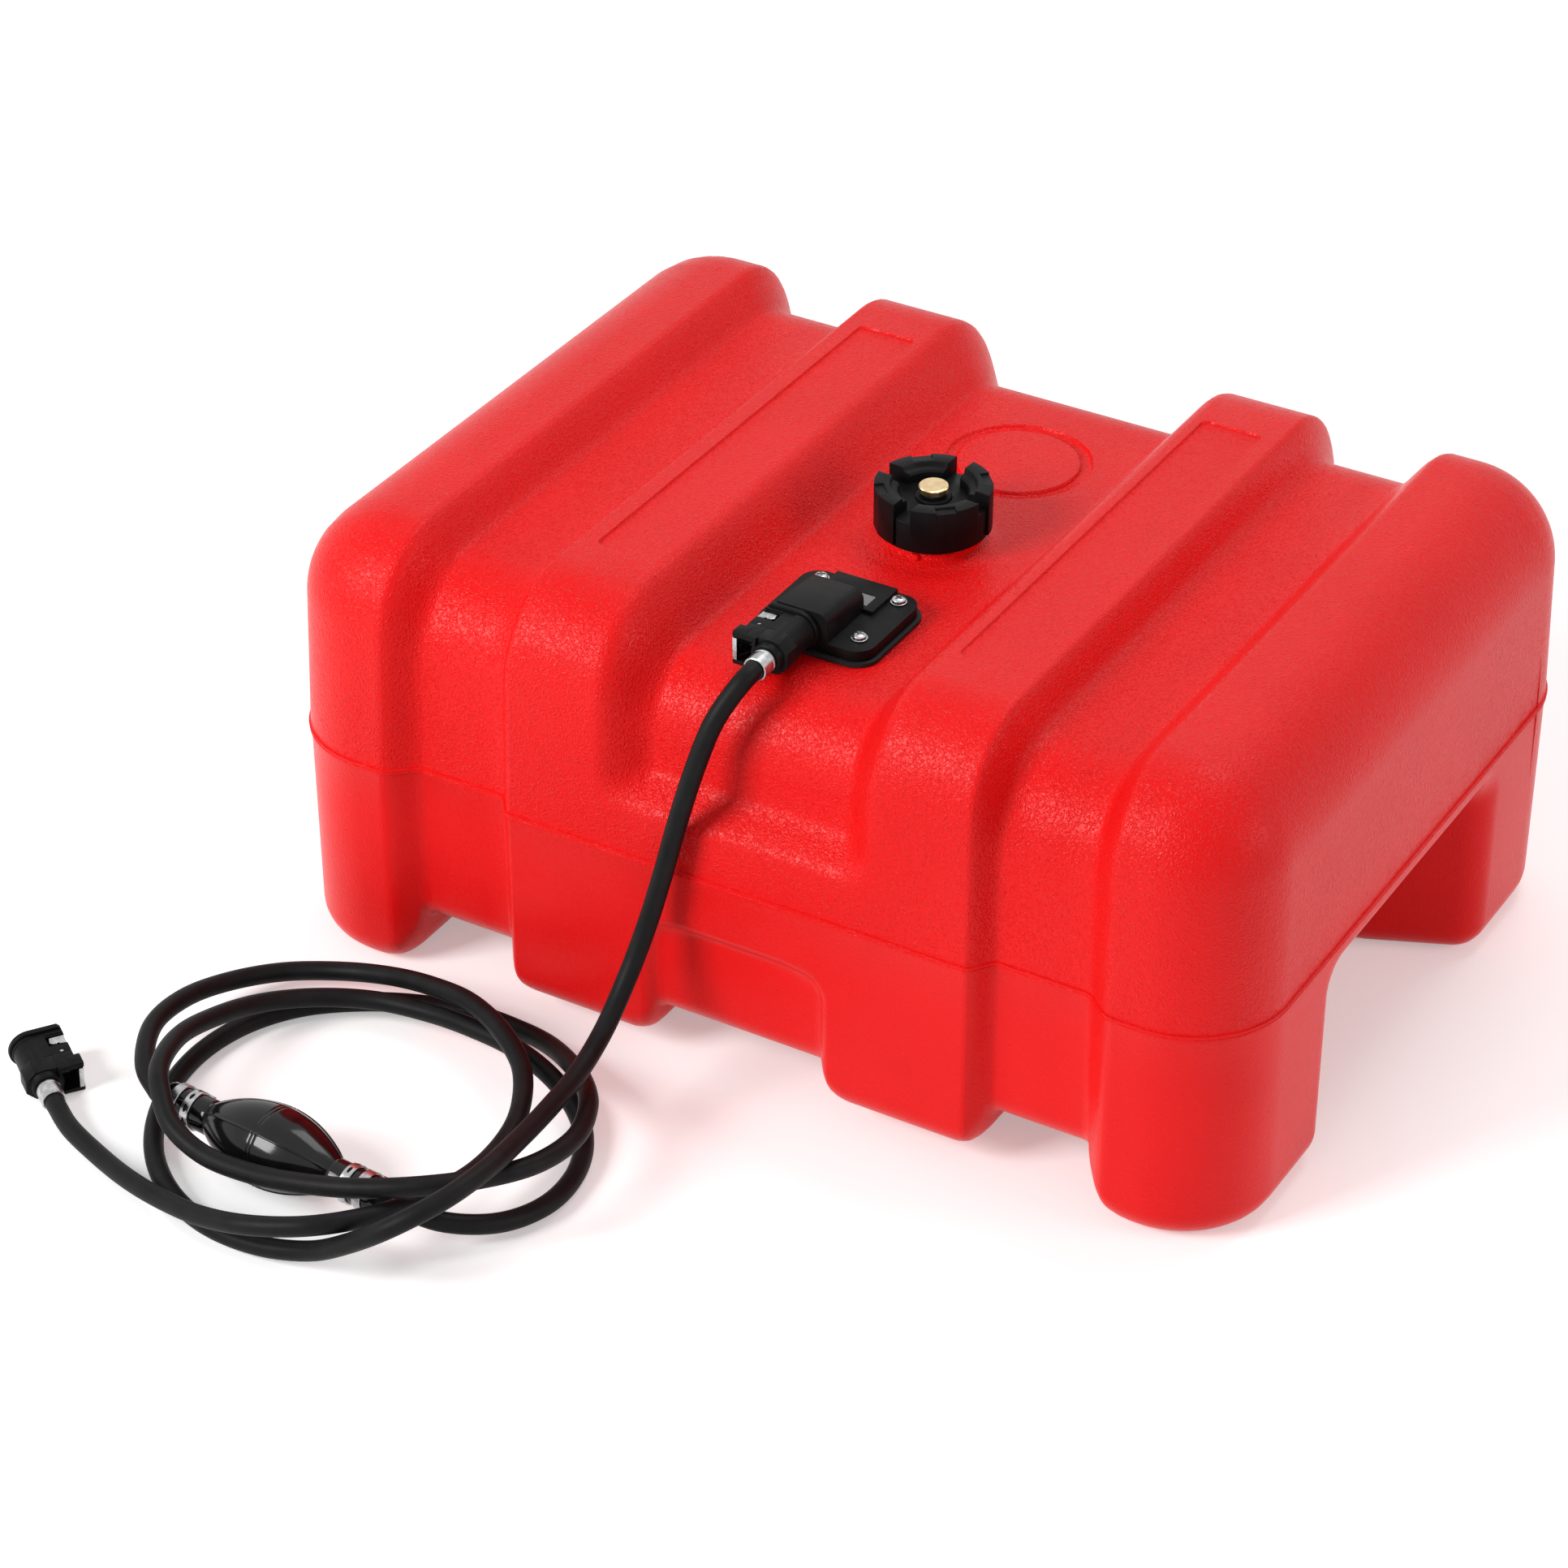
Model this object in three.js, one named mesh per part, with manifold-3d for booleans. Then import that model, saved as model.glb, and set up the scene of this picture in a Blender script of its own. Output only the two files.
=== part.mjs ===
// Portable outboard fuel tank: a ribbed blow-moulded tank with its filler cap and vent,
// the gauge and pickup fitting, and the hose line with primer bulb and two connectors.
// Millimetres, +Z up, the tank's footprint centred on the origin and its feet on Z = 0.
// X runs across the front, Y from the front to the back.
import * as THREE from "three";
import { mergeVertices } from "three/addons/utils/BufferGeometryUtils.js";
import Module from "manifold-3d";

const wasm = await Module();
wasm.setup();

// Driving sizes of the tank
const TANK_WIDTH = 647;
const TANK_DEPTH = 475;
const TANK_HEIGHT = 295;
const WALL = 4;
const CORNER_RADIUS = 60;
const TOP_RADIUS = 56;
const FOOT_RADIUS = 15;
const PARTING_HEIGHT = 146.8;
const PARTING_RIDGE = 2;

// Driving sizes of the fittings
const CAP_DIAMETER = 71;
const CAP_HEIGHT = 27.2;
const NECK_BORE = 50.8;
const HOSE_DIAMETER = 12;
const HOSE_BORE = 8;
const BULB_DIAMETER = 51;
const BULB_LENGTH = 92;

// Clearances
const GAP = 0.3; // between pieces that touch
const OVERRUN = 2; // how far a cut runs past the face that it opens
const MERGE = 1e-4;

// Facets of round pieces, by size
const FINE = 36;
const MEDIUM = 18;
const SMALL = 12;
const TUBE_SIDES = 8;

const HALF_WIDTH = TANK_WIDTH / 2;
const HALF_DEPTH = TANK_DEPTH / 2;

// A closed geometry as a solid that can be joined and cut.
function solid(geometry) {
  const bare = geometry.index ? geometry.toNonIndexed() : geometry.clone();
  bare.deleteAttribute("normal");
  bare.deleteAttribute("uv");
  const merged = mergeVertices(bare, MERGE);
  const index = merged.index.array;
  const faces = [];
  for (let i = 0; i < index.length; i += 3) {
    const [a, b, c] = [index[i], index[i + 1], index[i + 2]];
    if (a !== b && b !== c && a !== c) faces.push(a, b, c);
  }
  const made = new wasm.Manifold(
    new wasm.Mesh({
      numProp: 3,
      vertProperties: merged.attributes.position.array,
      triVerts: new Uint32Array(faces),
    }),
  );
  if (made.volume() > 0) return made;
  for (let i = 0; i < faces.length; i += 3) {
    [faces[i], faces[i + 1]] = [faces[i + 1], faces[i]];
  }
  return new wasm.Manifold(
    new wasm.Mesh({
      numProp: 3,
      vertProperties: merged.attributes.position.array,
      triVerts: new Uint32Array(faces),
    }),
  );
}

// A solid as a three.js geometry.
function geometryOf(made) {
  const { numProp, vertProperties, triVerts, numVert } = made.getMesh();
  const positions = new Float32Array(numVert * 3);
  for (let i = 0; i < numVert; i++) {
    positions.set(vertProperties.subarray(i * numProp, i * numProp + 3), i * 3);
  }
  const geometry = new THREE.BufferGeometry();
  geometry.setAttribute("position", new THREE.BufferAttribute(positions, 3));
  geometry.setIndex(new THREE.BufferAttribute(new Uint32Array(triVerts), 1));
  geometry.computeVertexNormals();
  return geometry;
}

// A box between two corners.
function box([x0, y0, z0], [x1, y1, z1]) {
  const geometry = new THREE.BoxGeometry(x1 - x0, y1 - y0, z1 - z0);
  return solid(geometry.translate((x0 + x1) / 2, (y0 + y1) / 2, (z0 + z1) / 2));
}

// A turned piece about Z at (x, y), from [radius, height] points that close on themselves.
function turned(points, sides = MEDIUM, x = 0, y = 0) {
  const closed = [...points, points[0]].map(([r, z]) => new THREE.Vector2(r, z));
  const geometry = new THREE.LatheGeometry(closed, sides);
  return solid(geometry.rotateX(Math.PI / 2).translate(x, y, 0));
}

// A round bar about Z from z0 to z1.
function round(radius, z0, z1, sides = MEDIUM, x = 0, y = 0) {
  const geometry = new THREE.CylinderGeometry(radius, radius, z1 - z0, sides);
  return solid(geometry.rotateX(Math.PI / 2).translate(x, y, (z0 + z1) / 2));
}

// A ring about Z.
function ring(inner, outer, z0, z1, sides = MEDIUM, x = 0, y = 0) {
  return turned([[inner, z0], [outer, z0], [outer, z1], [inner, z1]], sides, x, y);
}

// A round bar about Y from y0 to y1.
function roundAlongY(radius, y0, y1, sides = MEDIUM, x = 0, z = 0) {
  const geometry = new THREE.CylinderGeometry(radius, radius, y1 - y0, sides);
  return solid(geometry.translate(x, (y0 + y1) / 2, z));
}

// A plan outline drawn from z0 to z1.
function plate(outline, z0, z1, arcSteps = 6) {
  const options = { depth: z1 - z0, bevelEnabled: false, curveSegments: arcSteps };
  return solid(new THREE.ExtrudeGeometry(outline, options).translate(0, 0, z0));
}

// A rectangle with round corners, as an outline.
function roundedRectangle(x0, y0, x1, y1, radius) {
  const outline = new THREE.Shape();
  outline.moveTo(x0 + radius, y0);
  outline.lineTo(x1 - radius, y0);
  outline.absarc(x1 - radius, y0 + radius, radius, -Math.PI / 2, 0);
  outline.lineTo(x1, y1 - radius);
  outline.absarc(x1 - radius, y1 - radius, radius, 0, Math.PI / 2);
  outline.lineTo(x0 + radius, y1);
  outline.absarc(x0 + radius, y1 - radius, radius, Math.PI / 2, Math.PI);
  outline.lineTo(x0, y0 + radius);
  outline.absarc(x0 + radius, y0 + radius, radius, Math.PI, Math.PI * 1.5);
  return outline;
}

// Joins many solids into one.
function joined(...pieces) {
  return pieces.reduce((all, piece) => all.add(piece));
}

// Materials
function finish(color, roughness, metalness = 0, extra = {}) {
  return new THREE.MeshStandardMaterial({ color, roughness, metalness, ...extra });
}
const redPlastic = () => finish(0xd81e1e, 0.5);
const blackPlastic = () => finish(0x17181a, 0.45);
const blackRubber = () => finish(0x101012, 0.6);
const brass = () => finish(0xc9a45a, 0.3, 1);
const steel = () => finish(0xc9ccd0, 0.25, 1);
const clearPlastic = () => finish(0xb8c0c4, 0.1, 0, { transparent: true, opacity: 0.5 });
const whitePlastic = () => finish(0xe6e4dc, 0.5);
const cork = () => finish(0x6b4a2c, 0.8);

const tank = new THREE.Group();
function add(name, made, material, parent = tank) {
  const mesh = new THREE.Mesh(geometryOf(made), material);
  mesh.name = name;
  parent.add(mesh);
  return mesh;
}

// The moulded shape of the tank, as sizes across half its width.
const LOBE = {
  grooveIn: 14.6,
  grooveDeep: 21,
  channelDeep: 33.5,
  channelIn: 20,
  panelIn: 7,
};
// Each pair of places is where a slope starts and ends, measured from the centre.
const SLOPE = {
  channelTop: [66, 94],
  channelFront: [70, 86],
  centreFoot: [52, 66],
  grooveStart: [152, 167],
  grooveEnd: [221, 245],
};
const CHANNEL_TOP_RADIUS = 44;
// How far the underside clears the floor between the four corner feet
const LIFT = { lobe: 13, groove: 33.5, centre: 32 };
// Heights on the front and back faces
// Above the parting, where the height up to the top's rounding is the step's span
const STEP_RISE = { top: 53.2, middle: 41.2, foot: 29.2, span: 70.7 };
const UPPER_SPAN = TANK_HEIGHT - LOBE.channelDeep - CHANNEL_TOP_RADIUS - PARTING_HEIGHT;
const stepAt = (rise) => PARTING_HEIGHT + (rise * UPPER_SPAN) / STEP_RISE.span;
const STEP = {
  top: stepAt(STEP_RISE.top),
  middle: stepAt(STEP_RISE.middle),
  foot: stepAt(STEP_RISE.foot),
};
const PANEL = { top: 109, middle: 104.5, foot: 100 };
const LOWER_STEP = { top: 141.5, foot: 140.5, inset: 1.2 };
// The legs and the channel across the underside
const CHANNEL_WIDTH = 145;
const CHANNEL_CEILING = 129;
const CEILING_RADIUS = 12;
const FILLET_RADIUS = 20;
const UPPER_DRAFT = 1.4; // degrees
const LOWER_DRAFT = 0.3;

const CORNER_X = HALF_WIDTH - CORNER_RADIUS;
const CORNER_Y = HALF_DEPTH - CORNER_RADIUS;
const LEG_INNER = CHANNEL_WIDTH / 2;
const LEG_CORNER_Y = LEG_INNER + CORNER_RADIUS;

function ease(x, [start, end]) {
  const t = Math.min(1, Math.max(0, (x - start) / (end - start)));
  return t * t * (3 - 2 * t);
}

// How much of the groove and of the centre channel there is at x. The inside of the wall
// passes a larger reach, so its dents are wider than the outside's by one wall.
function grooveAt(x, reach) {
  const [a, b] = SLOPE.grooveStart;
  const [c, d] = SLOPE.grooveEnd;
  return ease(x, [a - reach, b - reach]) * (1 - ease(x, [c + reach, d + reach]));
}
function centreAt(x, slope, reach) {
  return 1 - ease(x, [slope[0] + reach, slope[1] + reach]);
}

// Distance from the middle to the front face at x, before the centre's own recesses.
function faceAt(x, inset, reach) {
  if (x > CORNER_X) {
    const left = Math.max(0, (CORNER_RADIUS - inset) ** 2 - (x - CORNER_X) ** 2);
    return CORNER_Y + Math.sqrt(left);
  }
  return HALF_DEPTH - LOBE.grooveIn * grooveAt(x, reach) - inset;
}

// Distance from the middle to the inner face of a leg at x.
function legAt(x, inset) {
  if (x <= CORNER_X) return LEG_INNER + inset;
  const left = Math.max(0, (CORNER_RADIUS - inset) ** 2 - (x - CORNER_X) ** 2);
  return LEG_CORNER_Y - Math.sqrt(left);
}

// The angle that a rounding of this radius still spans at x, less than a right angle
// only where x is within the rounding at the tank's end.
function rollAngle(x, radius, inset) {
  const into = x - (HALF_WIDTH - radius);
  if (into <= 0) return Math.PI / 2;
  return Math.acos(Math.min(1, into / (radius - inset)));
}

// Half of the outline of the tank across Y and Z at x, from the top's middle round the
// front to the underside's middle, with the distance from the middle and the height.
function halfOutline(x, inset, steps) {
  const points = [];
  const groove = grooveAt(x, inset);
  const centre = centreAt(x, SLOPE.channelTop, inset);
  const recess = LOBE.channelIn * centreAt(x, SLOPE.channelFront, inset);
  const panel = LOBE.panelIn * centreAt(x, SLOPE.centreFoot, inset);
  const radius = TOP_RADIUS + (CHANNEL_TOP_RADIUS - TOP_RADIUS) * centre;
  const crown = TANK_HEIGHT - LOBE.grooveDeep * groove - LOBE.channelDeep * centre;
  const axis = crown - radius;
  const rollTop = rollAngle(x, TOP_RADIUS, inset);
  points.push([0, axis + (radius - inset) * Math.sin(rollTop)]);
  for (let i = 0; i <= steps.top; i++) {
    const angle = rollTop * (1 - i / steps.top);
    const drawn = inset + (radius - inset) * (1 - Math.cos(angle));
    points.push([faceAt(x, drawn, inset) - recess, axis + (radius - inset) * Math.sin(angle)]);
  }
  const face = faceAt(x, inset, inset);
  points.push([face - recess, STEP.top]);
  if (steps.fine) points.push([face - recess / 2, STEP.middle]);
  points.push([face, STEP.foot]);
  if (steps.fine) points.push([face, LOWER_STEP.top]);
  const lower = inset + LOWER_STEP.inset;
  const lowerFace = faceAt(x, lower, inset);
  points.push([lowerFace, LOWER_STEP.foot]);
  points.push([lowerFace, PANEL.top + inset]);
  if (steps.fine) points.push([lowerFace - panel / 2, PANEL.middle]);
  points.push([lowerFace - panel, PANEL.foot + inset]);
  const lift = Math.max(
    LIFT.lobe * (1 - ease(x, SLOPE.grooveEnd.map((end) => end + inset))),
    LIFT.groove * groove ** 2,
    LIFT.centre * centreAt(x, SLOPE.centreFoot, inset) ** 2,
  );
  const footAxis = lift + FOOT_RADIUS;
  const rollFoot = rollAngle(x, FOOT_RADIUS, inset);
  for (let i = 0; i <= steps.foot; i++) {
    const angle = (rollFoot * i) / steps.foot;
    const drawn = lower + (FOOT_RADIUS - inset) * (1 - Math.cos(angle));
    const height = footAxis - (FOOT_RADIUS - inset) * Math.sin(angle);
    points.push([faceAt(x, drawn, inset) - panel, height]);
  }
  for (let i = 0; i <= steps.foot; i++) {
    const angle = rollFoot * (1 - i / steps.foot);
    const drawn = lower + (FOOT_RADIUS - inset) * (1 - Math.cos(angle));
    points.push([legAt(x, drawn), footAxis - (FOOT_RADIUS - inset) * Math.sin(angle)]);
  }
  const intoEnd = Math.max(0, x - (HALF_WIDTH - CEILING_RADIUS));
  const rise = CEILING_RADIUS - Math.sqrt(Math.max(0, CEILING_RADIUS ** 2 - intoEnd ** 2));
  const ceiling = CHANNEL_CEILING + rise;
  const leg = legAt(x, lower);
  for (let i = 0; i <= steps.fillet; i++) {
    const angle = ((Math.PI / 2) * i) / steps.fillet;
    const reach = FILLET_RADIUS + inset;
    points.push([
      leg - reach + reach * Math.cos(angle),
      ceiling - FILLET_RADIUS + reach * Math.sin(angle),
    ]);
  }
  points.push([0, ceiling + inset]);
  return points;
}

// Moves a point in by the draft of the two mould halves.
function drafted([x, y, z]) {
  const above = Math.max(0, z - PARTING_HEIGHT) * Math.tan(THREE.MathUtils.degToRad(UPPER_DRAFT));
  const below = Math.max(0, PARTING_HEIGHT - z) * Math.tan(THREE.MathUtils.degToRad(LOWER_DRAFT));
  const drawn = above + below;
  return [x * (1 - drawn / HALF_WIDTH), y * (1 - drawn / HALF_DEPTH), z];
}

// A closed skin through the outlines at all the stations across the tank.
function loft(stations, inset, steps) {
  const rings = stations.map((x) => {
    const half = halfOutline(Math.abs(x), inset, steps);
    const front = half.map(([y, z]) => drafted([x, -y, z]));
    const back = half.slice(1, -1).reverse().map(([y, z]) => drafted([x, y, z]));
    return [...front, ...back];
  });
  const count = rings[0].length;
  const faces = [];
  for (let s = 0; s + 1 < rings.length; s++) {
    for (let i = 0; i < count; i++) {
      const j = (i + 1) % count;
      const [a, b] = [rings[s][i], rings[s][j]];
      const [c, d] = [rings[s + 1][i], rings[s + 1][j]];
      faces.push(a, c, d, a, d, b);
    }
  }
  const ends = [rings[0], rings[rings.length - 1]];
  ends.forEach((end, side) => {
    const kept = end.filter((p, i) => {
      const [, y, z] = end[(i + 1) % count];
      return Math.hypot(p[1] - y, p[2] - z) > MERGE;
    });
    const flat = kept.map(([, y, z]) => new THREE.Vector2(y, z));
    for (const [a, b, c] of THREE.ShapeUtils.triangulateShape(flat, [])) {
      faces.push(...(side ? [kept[a], kept[c], kept[b]] : [kept[a], kept[b], kept[c]]));
    }
  });
  const geometry = new THREE.BufferGeometry();
  const positions = new Float32Array(faces.flat());
  geometry.setAttribute("position", new THREE.BufferAttribute(positions, 3));
  return solid(geometry);
}

// Places across one half, closer together where the outline bends.
function halfStations(inset, slopeSteps, cornerSteps) {
  const places = new Set([0]);
  const slopes = [
    SLOPE.centreFoot,
    SLOPE.channelTop,
    SLOPE.grooveStart,
    SLOPE.grooveEnd,
  ];
  for (const [start, end] of slopes) {
    const sign = start === SLOPE.grooveStart[0] ? -1 : 1;
    for (let i = 0; i <= slopeSteps; i++) {
      places.add(start + ((end - start) * i) / slopeSteps + sign * inset);
    }
  }
  for (let i = 0; i <= cornerSteps; i++) {
    const angle = ((Math.PI / 2) * i) / cornerSteps;
    places.add(CORNER_X + (CORNER_RADIUS - inset) * Math.sin(angle));
  }
  return [...places].sort((a, b) => a - b);
}
function mirrored(half) {
  return [...half.slice(1).reverse().map((x) => -x), ...half];
}

// The ridge where the mould halves meet, standing proud all the way round.
function partingRidge() {
  const steps = { slope: 2, corner: 5 };
  const grow = (CORNER_RADIUS + PARTING_RIDGE) / CORNER_RADIUS;
  const half = halfStations(0, steps.slope, steps.corner).map((x) => {
    const grown = x > CORNER_X ? CORNER_X + (x - CORNER_X) * grow : x;
    return [grown, faceAt(grown, -PARTING_RIDGE, 0)];
  });
  const back = half.slice(1).reverse();
  const all = [
    ...half.map(([x, y]) => [x, -y]),
    ...half.slice().reverse(),
    ...half.slice(1).map(([x, y]) => [-x, y]),
    ...back.map(([x, y]) => [-x, -y]),
  ];
  const outline = new THREE.Shape(all.map(([x, y]) => new THREE.Vector2(x, y)));
  return plate(outline, PARTING_HEIGHT - PARTING_RIDGE, PARTING_HEIGHT + PARTING_RIDGE);
}

// Places on the centre channel's floor
const FLOOR = TANK_HEIGHT - LOBE.channelDeep;

// The filler neck and the cap that turns onto it
const NECK = {
  y: -2.6,
  bore: NECK_BORE / 2,
  wall: 4,
  collar: 32,
  collarHeight: 7,
  collarRoot: 2,
  tabIn: 4,
  tabOut: 2.6,
  tabWide: 5,
  tabTurn: 9, // degrees from the front, towards +X
};
NECK.outer = NECK.bore + NECK.wall;
const CAP = {
  radius: CAP_DIAMETER / 2,
  skirtIn: 1.8, // the skirt between the grip pads stands this far inside them
  wall: 3.4,
  clear: 11, // from the channel's floor to the pads' lower edge
  skirtDrop: 2, // how much lower the skirt reaches
  dish: 9.7,
  dishRadius: 21,
  dishFlare: 1.5,
  topThick: 3,
  chamfer: 1.2,
  slot: 11.5,
  turn: -3.5, // degrees
  notchDeep: 1.2,
  notchWide: 12,
  notchIn: 6,
  bossRadius: 11,
  bossHeight: 2.5,
};
CAP.base = FLOOR + CAP.clear;
CAP.top = CAP.base + CAP_HEIGHT;
CAP.floor = CAP.top - CAP.dish;
CAP.ceiling = CAP.floor - CAP.topThick;
CAP.skirt = CAP.radius - CAP.skirtIn;
CAP.inner = CAP.skirt - CAP.wall;
CAP.bossTop = CAP.floor + CAP.bossHeight;
const CAP_GASKET = { thick: 2, lip: 1, outer: CAP.inner - GAP };
CAP_GASKET.inner = NECK.bore - CAP_GASKET.lip;
NECK.top = CAP.ceiling - CAP_GASKET.thick - 2 * GAP;

// The vent screw in the middle of the cap
const VENT = {
  stem: 3,
  neck: 2.3,
  flange: 4.5,
  flangeThick: 2,
  drop: 5, // from the cap's ceiling down to the flange, more than the vent's rise
  sealThick: 1.5,
  seal: 7,
  knob: 9.1,
  knobHeight: 4.4,
  knobChamfer: 0.6,
  knobCover: 1.2,
};
VENT.bore = VENT.stem + GAP;
VENT.flangeTop = CAP.ceiling - VENT.drop;
VENT.sealBase = CAP.bossTop + GAP;
VENT.knobBase = VENT.sealBase + VENT.sealThick + GAP;
VENT.knobTop = VENT.knobBase + VENT.knobHeight;
VENT.stemTop = VENT.knobTop - VENT.knobCover - GAP;

// The fitting that carries the gauge, the pickup and the outlet
const FITTING = {
  y: -116,
  halfWidth: 38,
  halfDepth: 35,
  corner: 12,
  thick: 6.8,
  platform: 2.6,
  platformFront: -109,
  gasketThick: 2.4,
  gasketMore: 2.5,
  centreY: -113.5, // middle of the screws and of the hole in the tank
  screwX: 26,
  screwY: 23,
  opening: 25,
  ringThick: 3,
  ringDeep: 2,
  spotFace: 5.8,
};
const GASKET_BASE = FLOOR + GAP;
const FLANGE_BASE = GASKET_BASE + FITTING.gasketThick + GAP;
const FLANGE_TOP = FLANGE_BASE + FITTING.thick;
const PLATFORM_TOP = FLANGE_TOP + FITTING.platform;
const screwPlaces = [-1, 1].flatMap((sy) =>
  [-1, 1].map((sx) => [sx * FITTING.screwX, FITTING.centreY + sy * FITTING.screwY]),
);
const SCREW = { shank: 2, head: 4.2, headHeight: 2.4, length: 19, slotWide: 1, slotDeep: 1.2 };
const WASHER = { outer: 5, thick: 0.8 };
const INSERT = { outer: 3.8, length: 9, below: 1.2 };
const BOSS = { radius: 7.5, depth: 15 };

// Shallow recesses on the top
const LABEL = { inner: 99, outer: 141, halfLength: 157, deep: 1.2, corner: 3, cornerSteps: 3 };
const DISC = { y: 106, inner: 38, outer: 46, deep: 2.4 };

function tankShell() {
  const outerSteps = { top: 3, foot: 2, fillet: 2, fine: true };
  const innerSteps = { top: 2, foot: 1, fillet: 1, fine: false };
  const places = { slope: 2, corner: 5, innerSlope: 1, innerCorner: 3 };
  const outside = loft(mirrored(halfStations(0, places.slope, places.corner)), 0, outerSteps);
  const inner = mirrored(halfStations(WALL, places.innerSlope, places.innerCorner));
  const collarTop = FLOOR + NECK.collarHeight;
  const ceiling = FLOOR - WALL - OVERRUN;
  const tab = box(
    [-NECK.tabWide / 2, -NECK.collar - NECK.tabOut, FLOOR - NECK.collarRoot],
    [NECK.tabWide / 2, -NECK.collar + NECK.tabIn, collarTop],
  );
  let made = joined(
    outside,
    partingRidge(),
    round(NECK.outer, FLOOR - WALL, NECK.top, FINE, 0, NECK.y),
    round(NECK.collar, FLOOR - NECK.collarRoot, collarTop, FINE, 0, NECK.y),
    tab.rotate([0, 0, NECK.tabTurn]).translate([0, NECK.y, 0]),
  );
  made = made.subtract(loft(inner, WALL, innerSteps));
  for (const [x, y] of screwPlaces) {
    const hole = INSERT.outer + GAP;
    made = made.add(round(BOSS.radius, FLOOR - BOSS.depth, FLOOR - WALL / 2, SMALL, x, y));
    made = made.subtract(
      round(hole, FLOOR - INSERT.length - INSERT.below, FLOOR + OVERRUN, SMALL, x, y),
    );
  }
  made = made.subtract(round(NECK.bore, ceiling, NECK.top + OVERRUN, FINE, 0, NECK.y));
  made = made.subtract(
    round(FITTING.opening, ceiling, FLOOR + OVERRUN, FINE, 0, FITTING.centreY),
  );
  made = made.subtract(
    ring(DISC.inner, DISC.outer, FLOOR - DISC.deep, FLOOR + OVERRUN, FINE, 0, DISC.y),
  );
  for (const [x0, x1] of [[LABEL.inner, LABEL.outer], [-LABEL.outer, -LABEL.inner]]) {
    const outline = roundedRectangle(x0, -LABEL.halfLength, x1, LABEL.halfLength, LABEL.corner);
    const bottom = TANK_HEIGHT - LABEL.deep;
    made = made.subtract(plate(outline, bottom, TANK_HEIGHT + OVERRUN, LABEL.cornerSteps));
  }
  return made;
}
add("tank_shell", tankShell(), redPlastic());

// The cap: a dished top, a skirt, and four grip pads with a notch each.
function fillerCap() {
  const flare = CAP.dishRadius + CAP.dishFlare;
  const body = turned(
    [
      [VENT.bore, CAP.ceiling],
      [CAP.inner, CAP.ceiling],
      [CAP.inner, CAP.base - CAP.skirtDrop],
      [CAP.skirt, CAP.base - CAP.skirtDrop],
      [CAP.skirt, CAP.floor + CAP.chamfer],
      [CAP.skirt - CAP.chamfer, CAP.floor],
      [CAP.bossRadius, CAP.floor],
      [CAP.bossRadius, CAP.bossTop],
      [VENT.bore, CAP.bossTop],
    ],
    FINE,
  );
  let pads = turned(
    [
      [CAP.dishRadius, CAP.floor - CAP.topThick / 2],
      [CAP.inner + CAP.wall / 2, CAP.floor - CAP.topThick / 2],
      [CAP.inner + CAP.wall / 2, CAP.base],
      [CAP.radius, CAP.base],
      [CAP.radius, CAP.top - CAP.chamfer],
      [CAP.radius - CAP.chamfer, CAP.top],
      [flare, CAP.top],
      [CAP.dishRadius, CAP.floor],
    ],
    FINE,
  );
  const slot = box(
    [-CAP.radius - OVERRUN, -CAP.slot / 2, CAP.base - OVERRUN],
    [CAP.radius + OVERRUN, CAP.slot / 2, CAP.top + OVERRUN],
  );
  const notch = box(
    [CAP.radius - CAP.notchIn, -CAP.notchWide / 2, CAP.top - CAP.notchDeep],
    [CAP.radius + OVERRUN, CAP.notchWide / 2, CAP.top + OVERRUN],
  );
  pads = pads.subtract(slot).subtract(slot.rotate([0, 0, 90]));
  for (const angle of [45, 135, 225, 315]) pads = pads.subtract(notch.rotate([0, 0, angle]));
  return body.add(pads).rotate([0, 0, CAP.turn]).translate([0, NECK.y, 0]);
}
add("filler_cap", fillerCap(), blackPlastic());
const gasketTop = CAP.ceiling - GAP;
const gasketBase = gasketTop - CAP_GASKET.thick;
add(
  "cap_gasket",
  ring(CAP_GASKET.inner, CAP_GASKET.outer, gasketBase, gasketTop, MEDIUM, 0, NECK.y),
  blackRubber(),
);

add(
  "vent_stem",
  turned(
    [
      [0, VENT.flangeTop - VENT.flangeThick],
      [VENT.flange, VENT.flangeTop - VENT.flangeThick],
      [VENT.flange, VENT.flangeTop],
      [VENT.stem, VENT.flangeTop],
      [VENT.stem, VENT.knobBase - GAP],
      [VENT.neck, VENT.knobBase - GAP],
      [VENT.neck, VENT.stemTop],
      [0, VENT.stemTop],
    ],
    SMALL,
    0,
    NECK.y,
  ),
  brass(),
);
const sealTop = VENT.sealBase + VENT.sealThick;
add(
  "vent_seal",
  ring(VENT.stem + GAP, VENT.seal, VENT.sealBase, sealTop, SMALL, 0, NECK.y),
  blackRubber(),
);
add(
  "vent_knob",
  turned(
    [
      [VENT.neck + GAP, VENT.knobBase],
      [VENT.knob, VENT.knobBase],
      [VENT.knob, VENT.knobTop - VENT.knobChamfer],
      [VENT.knob - VENT.knobChamfer, VENT.knobTop],
      [0, VENT.knobTop],
      [0, VENT.stemTop + GAP],
      [VENT.neck + GAP, VENT.stemTop + GAP],
    ],
    MEDIUM,
    0,
    NECK.y,
  ),
  brass(),
);

// The outlet: a spigot for the fuel and a post for the latch, side by side
const OUTLET = {
  x: -4,
  rise: 15.5, // from the channel's floor to the spigot's middle
  front: -151,
  spigot: 4,
  spigotBore: 2.2,
  spigotLength: 22,
  seat: 8, // how far spigot and post reach into the fitting
  postX: -15,
  post: 2,
  postLength: 14,
  grooveIn: 9.5,
  grooveWide: 3,
  groove: 1.3,
};
OUTLET.z = FLOOR + OUTLET.rise;
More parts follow.
